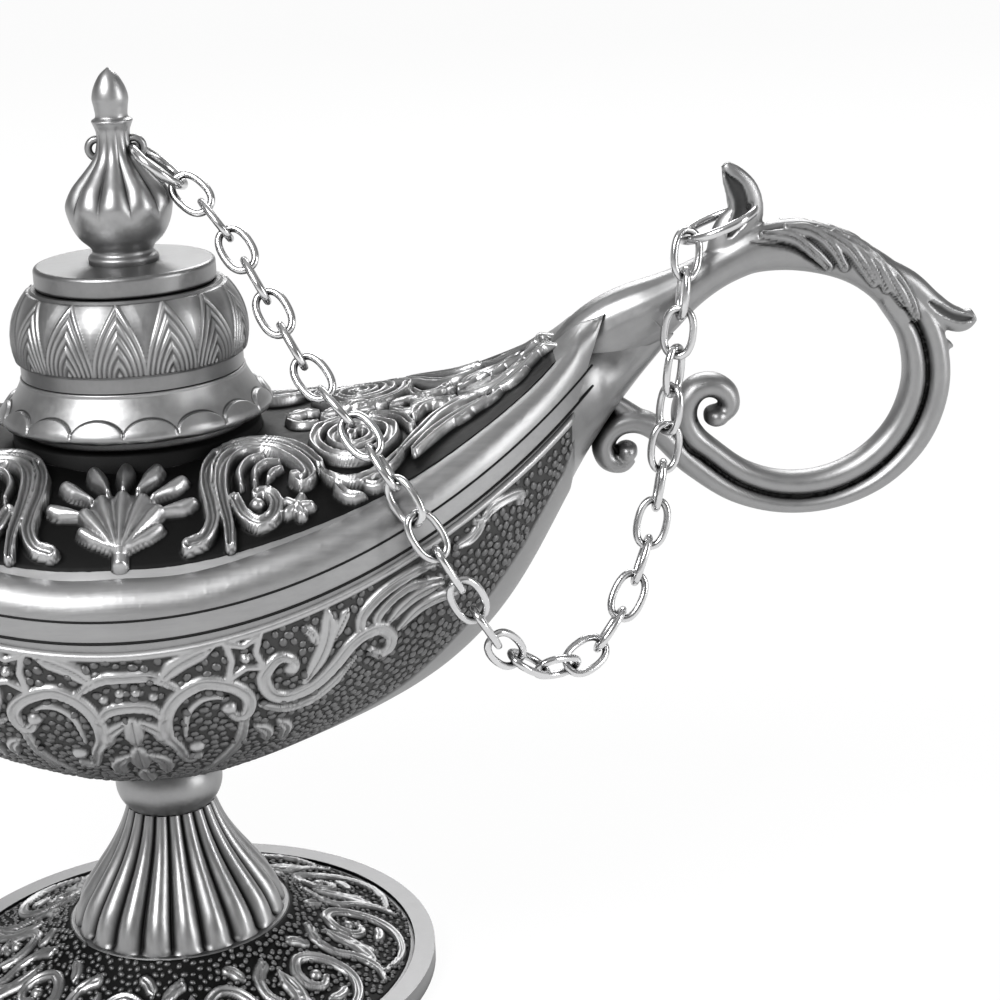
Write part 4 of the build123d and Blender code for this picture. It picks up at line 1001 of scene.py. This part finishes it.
# Lid, cap and finial
# A turned lid with fourteen pointed arches cast round its belly, a polished cap and a gadrooned finial.
# A steel screw and washer inside the lid hold cap and finial.
lid_pewter = pewter("lid_pewter", 0.24, 0.36, 0.3)
dress("lid", lid_pewter)
dress("lid_cap", lid_pewter)
dress("finial_screw", turned_steel)
dress("finial_washer", turned_steel)
lid_skin = skin_of("lid")
arch_low, arch_high, arch_count = 76.3, 84.1, 14
arch_turns = arch_count * 48
arch_heights = np.linspace(arch_low, arch_high, 90)
arch_radii = np.array([Vector(lid_skin.ray_cast((60, 0, z), (-1, 0, 0))[0]).xy.length for z in arch_heights])
arch_field = lathe(np.stack([arch_radii, arch_heights], 1), arch_turns)
arch_turn = np.linspace(0, 2 * pi, arch_turns, endpoint=False)
arch_across = np.abs((arch_turn * arch_count / (2 * pi)) % 1 - 0.5) * 2
arch_up = (arch_heights - arch_low) / (arch_high - arch_low)
across, up = arch_across[:, None] * 1.04, arch_up[None, :] * 1.06
arch_ring = (across + np.sqrt(across**2 + 4 * up**2)) / 2
arch_lines = 0.5 + 0.5 * np.cos(2 * pi * (1 - arch_ring) / 0.19)
arch_relief = np.where(
    arch_ring < 1.09, 0.3 + 0.7 * arch_lines**0.7, 0.5 + 0.3 * np.clip((arch_ring - 1.15) / 0.3, 0, 1)
)
arch_fade = np.clip(np.minimum(arch_heights - arch_low, arch_high - arch_heights) / 0.35, 0, 1)[None, :]
arch_lift = arch_fade * (0.04 + 0.3 * arch_relief) - 0.2 * (1 - arch_fade)
chased("lid_arches", arch_field, arch_lift, 79, carved_pewter, "lid_group", {"relief": arch_relief})

reed_count = 10
finial_reed_steps = 24
reed_turns = reed_count * finial_reed_steps
finial_profile = flowing(
    [
        (3.8, 86.6), (3.8, 87.2), (3.35, 87.7), (3.5, 88.3), (4.6, 89.4), (5.35, 90.8), (5.75, 92.4),
        (5.6, 93.5), (4.8, 94.9), (3.6, 96.3), (2.4, 97.8), (1.9, 99.2), (1.8, 100.6), (2.1, 101.5),
        (2.2, 101.9), (1.75, 102.3), (1.8, 103.2), (1.95, 104.3), (1.65, 105.5), (0.95, 106.7),
        (0.02, 107.5)
    ],
    7
)
finial_shape = lathe(finial_profile, reed_turns)
reed_wave = np.abs(np.sin(np.arange(reed_turns) * pi / finial_reed_steps))[:, None]
reed_height = np.interp(
    finial_profile[:, 1], [91.6, 93.0, 95.0, 98.0, 100.5, 101.5], [0, 0.5, 0.75, 0.5, 0.3, 0]
)[None, :]
finial_lift = reed_height * (reed_wave**0.8 - 0.75) * np.clip(finial_profile[:, 0] / 5, 0.25, 1)[None, :]
reed_dark = np.clip(1 - 1.5 * reed_height * (1 - reed_wave**0.6), 0.12, 1)
finial_skin = chased(
    "reeded_finial", finial_shape, finial_lift, 93, carved_pewter, "lid_group", {"relief": reed_dark}
)
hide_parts("finial")
lug_reach, lug_height = 2.1, 98.9
eye_radius, eye_wire, eye_flat = 1.0, 0.42, 0.5
eye_turn, wire_turn = np.linspace(0, 2 * pi, 33), np.linspace(0, 2 * pi, 15)
eye_out = eye_radius + eye_wire * np.cos(wire_turn)[None, :]
eye_side = eye_flat * np.sin(wire_turn)[None, :] * np.ones((len(eye_turn), 1))
eye_ring = np.stack([np.cos(eye_turn)[:, None] * eye_out, eye_side, np.sin(eye_turn)[:, None] * eye_out], -1)
for side, reach in (("right", lug_reach), ("left", -lug_reach * 0.85)):
    lay(
        "finial_lug_" + side, eye_ring + (reach, 0, lug_height), plain_pewter, "lid_group",
        False, (reach, 0, lug_height)
    )

# Handle
# A cast scroll handle, pinned and soldered to the neck: two ribs round a finger loop, a leaf along its back,
# a volute and a curl at its lower end and an ear on top that carries the chain.
handle_pewter = pewter("handle_pewter", 0.3, 0.44, 0.36, True, (500.0, 900.0, 500.0))
rib_depth = 1.9
loop_centre = np.array((73.3, 70.3))
loop_angles = np.array((38, 16, -6, -28, -50, -72, -94, -116, -138))
loop_inside = np.array((12.1, 12.4, 12.55, 12.45, 12.15, 11.8, 11.5, 11.3, 11.3))
loop_groove = np.array((14.1, 14.9, 15.35, 15.3, 15.05, 14.7, 14.3, 13.95, 13.9))
loop_outside = np.array((16.8, 17.6, 18.1, 18.1, 17.6, 16.9, 16.45, 16.35, 16.6))


def round_loop(angles, radii):
    """Points of the long section at radii and angles round the finger loop."""
    turn = np.radians(angles)
    return loop_centre + np.stack([np.cos(turn) * radii, np.sin(turn) * radii], 1)


def cast(stations, sides=18):
    """Points and faces of a bar along stations of (x, z, half width, half depth), closed at its ends."""
    run = flowing(stations, 8)
    ahead = np.gradient(run[:, :2], axis=0)
    ahead /= np.linalg.norm(ahead, axis=1, keepdims=True)
    turn = np.linspace(0, 2 * pi, sides, endpoint=False)
    points = np.zeros((len(run), sides, 3))
    points[:, :, 0] = run[:, None, 0] - ahead[:, None, 1] * run[:, None, 2] * np.cos(turn)
    points[:, :, 1] = run[:, None, 3] * np.sin(turn)
    points[:, :, 2] = run[:, None, 1] + ahead[:, None, 0] * run[:, None, 2] * np.cos(turn)
    index = np.arange(len(run) * sides).reshape(len(run), sides)
    beside = np.roll(index, -1, 1)
    faces = np.stack([index[:-1], index[1:], beside[1:], beside[:-1]], -1).reshape(-1, 4).tolist()
    faces += [index[0].tolist(), index[-1, ::-1].tolist()]
    return points.reshape(-1, 3), faces


def rib(inside, outside):
    """Stations of a rib between two lines round the finger loop."""
    middle = round_loop(loop_angles, (inside + outside) / 2)
    return np.column_stack([middle, (outside - inside) / 2, np.full(len(loop_angles), rib_depth)])


volute = [
    (62.0, 63.6, 1.45, 2.0), (61.1, 65.6, 1.5, 2.1), (61.4, 67.6, 1.5, 2.1), (62.6, 69.0, 1.5, 2.1),
    (64.3, 69.3, 1.45, 2.1), (65.8, 68.4, 1.35, 2.0), (66.2, 66.9, 1.2, 1.9), (65.4, 65.9, 1.1, 1.8)
]
curl = [
    (59.9, 62.2, 1.35, 1.9), (57.6, 64.7, 1.4, 2.0), (55.3, 65.6, 1.4, 2.0), (53.1, 65.0, 1.4, 2.0),
    (51.9, 63.2, 1.35, 1.9), (52.3, 61.3, 1.25, 1.8), (53.8, 60.7, 1.1, 1.7), (54.9, 61.5, 0.9, 1.6)
]
neck = [
    (45.8, 72.0, 1.6, 1.4), (48.4, 73.6, 2.9, 2.7), (51.0, 75.2, 3.7, 3.15), (53.8, 76.6, 4.0, 3.3),
    (57.4, 78.2, 3.75, 3.42), (60.8, 80.2, 2.75, 2.9), (63.5, 81.75, 2.3, 2.6), (66.2, 83.2, 2.3, 2.4),
    (69.5, 84.5, 2.65, 2.3)
]
neck += [
    (x, z, half, 2.2)
    for (x, z), half in zip(
        round_loop([85, 62, 43, 24], np.array((14.4, 14.1, 14.4, 14.9))).tolist(), (2.9, 2.45, 2.4, 2.4)
    )
]
ear = [
    (66.6, 83.5, 3.0, 1.8), (67.0, 86.3, 2.6, 1.5), (68.2, 88.6, 2.05, 1.2), (67.9, 90.8, 1.9, 1.1),
    (66.9, 92.7, 1.35, 0.9), (66.0, 94.1, 0.5, 0.5)
]
spur = [
    (83.0, 81.6, 1.6, 1.9), (86.2, 79.6, 1.75, 1.8), (88.6, 77.3, 1.75, 1.7), (90.7, 75.9, 1.5, 1.6),
    (92.5, 75.3, 1.35, 1.5), (93.9, 75.9, 0.8, 1.1)
]
web = [(53.0, 68.0, 1.0, 1.2), (54.6, 66.9, 1.0, 1.2), (56.8, 65.6, 0.8, 1.2)]
barb = [(89.6, 73.0, 0.8, 1.0), (90.8, 72.6, 0.6, 0.8), (91.7, 72.3, 0.15, 0.2)]
volute_bulb = [(64.7, 64.4, 0.3, 0.4), (64.7, 65.1, 1.3, 2.1), (64.7, 66.3, 1.3, 2.1), (64.7, 67.0, 0.3, 0.4)]
curl_bulb = [(54.5, 61.0, 0.3, 0.4), (54.5, 61.6, 1.15, 1.9), (54.5, 62.7, 1.15, 1.9), (54.5, 63.3, 0.3, 0.4)]
handle_points, handle_faces = [], []
inner_bar = np.vstack([rib(loop_inside, loop_groove), volute])
outer_bar = np.vstack([rib(loop_groove, loop_outside), curl])
for stations in (neck, inner_bar, outer_bar, ear, spur, web, barb, volute_bulb, curl_bulb):
    points, faces = cast(stations)
    start = sum(len(run) for run in handle_points)
    handle_points.append(points)
    handle_faces += [[corner + start for corner in face] for face in faces]
rough_mesh = bpy.data.meshes.new("handle_rough")
rough_mesh.from_pydata((np.vstack(handle_points) * 0.001).tolist(), [], handle_faces)
rough_handle = bpy.data.objects.new("handle_rough", rough_mesh)
scene.collection.objects.link(rough_handle)
joined = rough_handle.modifiers.new("joined", "REMESH")
joined.mode = "VOXEL"
joined.voxel_size = 0.0002
eased = rough_handle.modifiers.new("eased", "SMOOTH")
eased.iterations = 5
eased.factor = 0.5
ear_hole, drill_radius, drill_reach, drill_sides = (68.4, 89.2), 0.95, 4, 32
drill_mesh = bpy.data.meshes.new("ear_drill")
drill_turn = np.linspace(0, 2 * pi, drill_sides, endpoint=False)
drill_x = ear_hole[0] + drill_radius * np.cos(drill_turn)
drill_z = ear_hole[1] + drill_radius * np.sin(drill_turn)
drill_ring = np.stack([drill_x, np.zeros(drill_sides), drill_z], 1)
drill_points = np.vstack([drill_ring + (0, -drill_reach, 0), drill_ring + (0, drill_reach, 0)]) * 0.001
drill_faces = []
for k in range(drill_sides):
    beside = (k + 1) % drill_sides
    drill_faces.append((k, beside, drill_sides + beside, drill_sides + k))
drill_faces += [list(range(drill_sides - 1, -1, -1)), list(range(drill_sides, 2 * drill_sides))]
drill_mesh.from_pydata(drill_points.tolist(), [], drill_faces)
drill = bpy.data.objects.new("ear_drill", drill_mesh)
scene.collection.objects.link(drill)
drilled = rough_handle.modifiers.new("drilled", "BOOLEAN")
drilled.operation = "DIFFERENCE"
drilled.object = drill
drilled.solver = "EXACT"
handle_mesh = bpy.data.meshes.new_from_object(
    rough_handle.evaluated_get(bpy.context.evaluated_depsgraph_get())
)
bpy.data.objects.remove(rough_handle)
bpy.data.objects.remove(drill)
handle_mesh.name = "scroll_handle"
spots = np.empty(len(handle_mesh.vertices) * 3)
handle_mesh.vertices.foreach_get("co", spots)
spots = spots.reshape(-1, 3) * 1000
facing = np.empty(len(handle_mesh.vertices) * 3)
handle_mesh.vertices.foreach_get("normal", facing)
facing = facing.reshape(-1, 3)
flat_spots = spots * (1, 0, 1)
side_on = np.clip((np.abs(facing[:, 1]) - 0.12) / 0.3, 0, 1)
leaf_lobes = [
    (line, (0.3, 0.66, 0.5), leaf, 0.75)
    for line in (
        [(69.8, 86.3), (72.9, 86.0), (75.1, 84.5), (77.2, 82.6)],
        [(72.4, 86.9), (75.1, 86.4), (77.2, 84.9), (78.9, 82.4)],
        [(75.9, 86.5), (78.9, 84.7), (80.7, 82.6), (82.2, 80.5)],
        [(77.6, 86.0), (80.6, 84.3), (82.3, 82.2), (83.6, 79.7)],
        [(79.6, 85.2), (82.6, 82.7), (84.3, 80.1), (85.5, 78.0)],
        [(82.5, 83.0), (84.9, 80.4), (86.1, 78.2), (86.8, 76.4)],
    )
]
handle_cuts = [
    ([(68.6, 85.6), (72.6, 84.9), (75.0, 83.4), (76.6, 81.9)], (0.1, 0.3, 0.2), bead, 0.3),
    ([(65.9, 93.0), (67.3, 91.0), (67.6, 88.6), (66.2, 86.4)], (0.2, 0.9, 0.3), bead, 0.55),
    ([(88.4, 78.0), (91.0, 76.2), (93.4, 75.6)], (0.1, 0.55, 0.3), bead, 0.4),
    (
        np.vstack([round_loop(loop_angles, loop_groove), [(61.4, 62.2), (60.2, 64.4)]]), (0.1, 0.2, 0.14),
        bead, 0.34
    ),
    ([(62.4, 65.6), (62.7, 67.2), (64.0, 67.9), (65.0, 67.2)], (0.2, 0.35, 0.2), bead, 0.4),
    ([(56.0, 63.6), (54.4, 64.0), (53.2, 63.2), (53.3, 62.2)], (0.2, 0.35, 0.2), bead, 0.4),
]


def in_section(run):
    """Points of the long section for (x, z)."""
    return np.column_stack([run[:, 0], np.zeros(len(run)), run[:, 1]])


lobe_lines = laid(leaf_lobes, in_section)
lobe_relief = carve(flat_spots, lobe_lines) * side_on
cut_relief = carve(flat_spots, laid(handle_cuts, in_section)) * side_on
spots = spots + facing * (lobe_relief - cut_relief)[:, None]
handle_mesh.vertices.foreach_set("co", (spots * 0.001).ravel())
wide_lines = [(path, halves * 1.7, bead, 1.0) for path, halves, section, rise in lobe_lines]
near_leaf = carve(flat_spots, wide_lines) * side_on
handle_dark = np.clip(near_leaf * 0.9 - 2.2 * lobe_relief, 0, 0.75) + np.clip(2.4 * cut_relief, 0, 0.8)
handle_mesh.shade_smooth()
handle_marks = {"relief": np.clip(1 - handle_dark, 0.05, 1)}
scroll_handle = placed("scroll_handle", handle_mesh, handle_pewter, "lamp", handle_marks)
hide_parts("handle")

# Chain and rings
# Thirty soldered wire links between a ring in the finial's lug and a ring in the handle's ear.
# The wire is bright nickel, drawn round and bent to ovals.
bright_wire = pewter("bright_wire", 0.62, 0.8, 0.12)
dress("finial_ring", bright_wire)
dress("ear_ring", bright_wire)
link_count = 30
link_wire = 0.42
link_fullness = 0.06


def link_tree():
    """One oval wire link, long in x and lying flat."""
    web, given = growth_web("oval_link", dict.fromkeys(("Half Length", "Half Width", "Wire"), "Float"))
    route = web.node("GeometryNodeCurvePrimitiveCircle", {}, {"Resolution": 44, "Radius": 1.0})
    spot = web.node("GeometryNodeInputPosition")
    along = web.node("ShaderNodeSeparateXYZ", {}, {0: spot})
    corner = along * along.output(1)
    more = {0: corner * corner, 1: 4 * link_fullness, 2: 1.0}
    fuller = web.node("ShaderNodeMath", {"operation": "MULTIPLY_ADD"}, more)
    rounder = web.node("ShaderNodeVectorMath", {"operation": "SCALE"}, {0: spot, "Scale": fuller})
    rounded = web.node("GeometryNodeSetPosition", {}, {"Geometry": route, "Position": rounder})
    size = web.node("ShaderNodeCombineXYZ", {}, {0: given["Half Length"], 1: given["Half Width"], 2: 1.0})
    oval = web.node("GeometryNodeTransform", {}, {"Geometry": rounded, "Scale": size})
    section = web.node("GeometryNodeCurvePrimitiveCircle", {}, {"Resolution": 12, "Radius": given["Wire"]})
    wire = web.node("GeometryNodeCurveToMesh", {}, {"Curve": oval, "Profile Curve": section})
    return full_grown(web, wire, given)


oval_link = link_tree()
for number in range(1, link_count + 1):
    name = f"chain_link_{number:02d}"
    corners = np.array([corner.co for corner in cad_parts[name].data.vertices], float)
    ways = np.linalg.svd(corners - corners.mean(0), full_matrices=False)[2]
    ways[2] = np.cross(ways[0], ways[1])
    along = (corners - corners.mean(0)) @ ways.T
    middle = corners.mean(0) + ways.T @ ((along.max(0) + along.min(0)) / 2)
    reach = (along.max(0) - along.min(0)) / 2
    wire = link_wire * 0.001
    link = grown(
        "wire_link_%02d" % number, bpy.data.meshes.new("link_start"), oval_link,
        {
            "Half Length": float(reach[0]) - wire, "Half Width": float(reach[1]) - wire, "Wire": wire,
            "Finish": bright_wire
        },
        name
    )
    turn = np.eye(4)
    turn[:3, :3], turn[:3, 3] = ways.T, middle
    link.data.transform(Matrix(turn.tolist()))
    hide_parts(name)
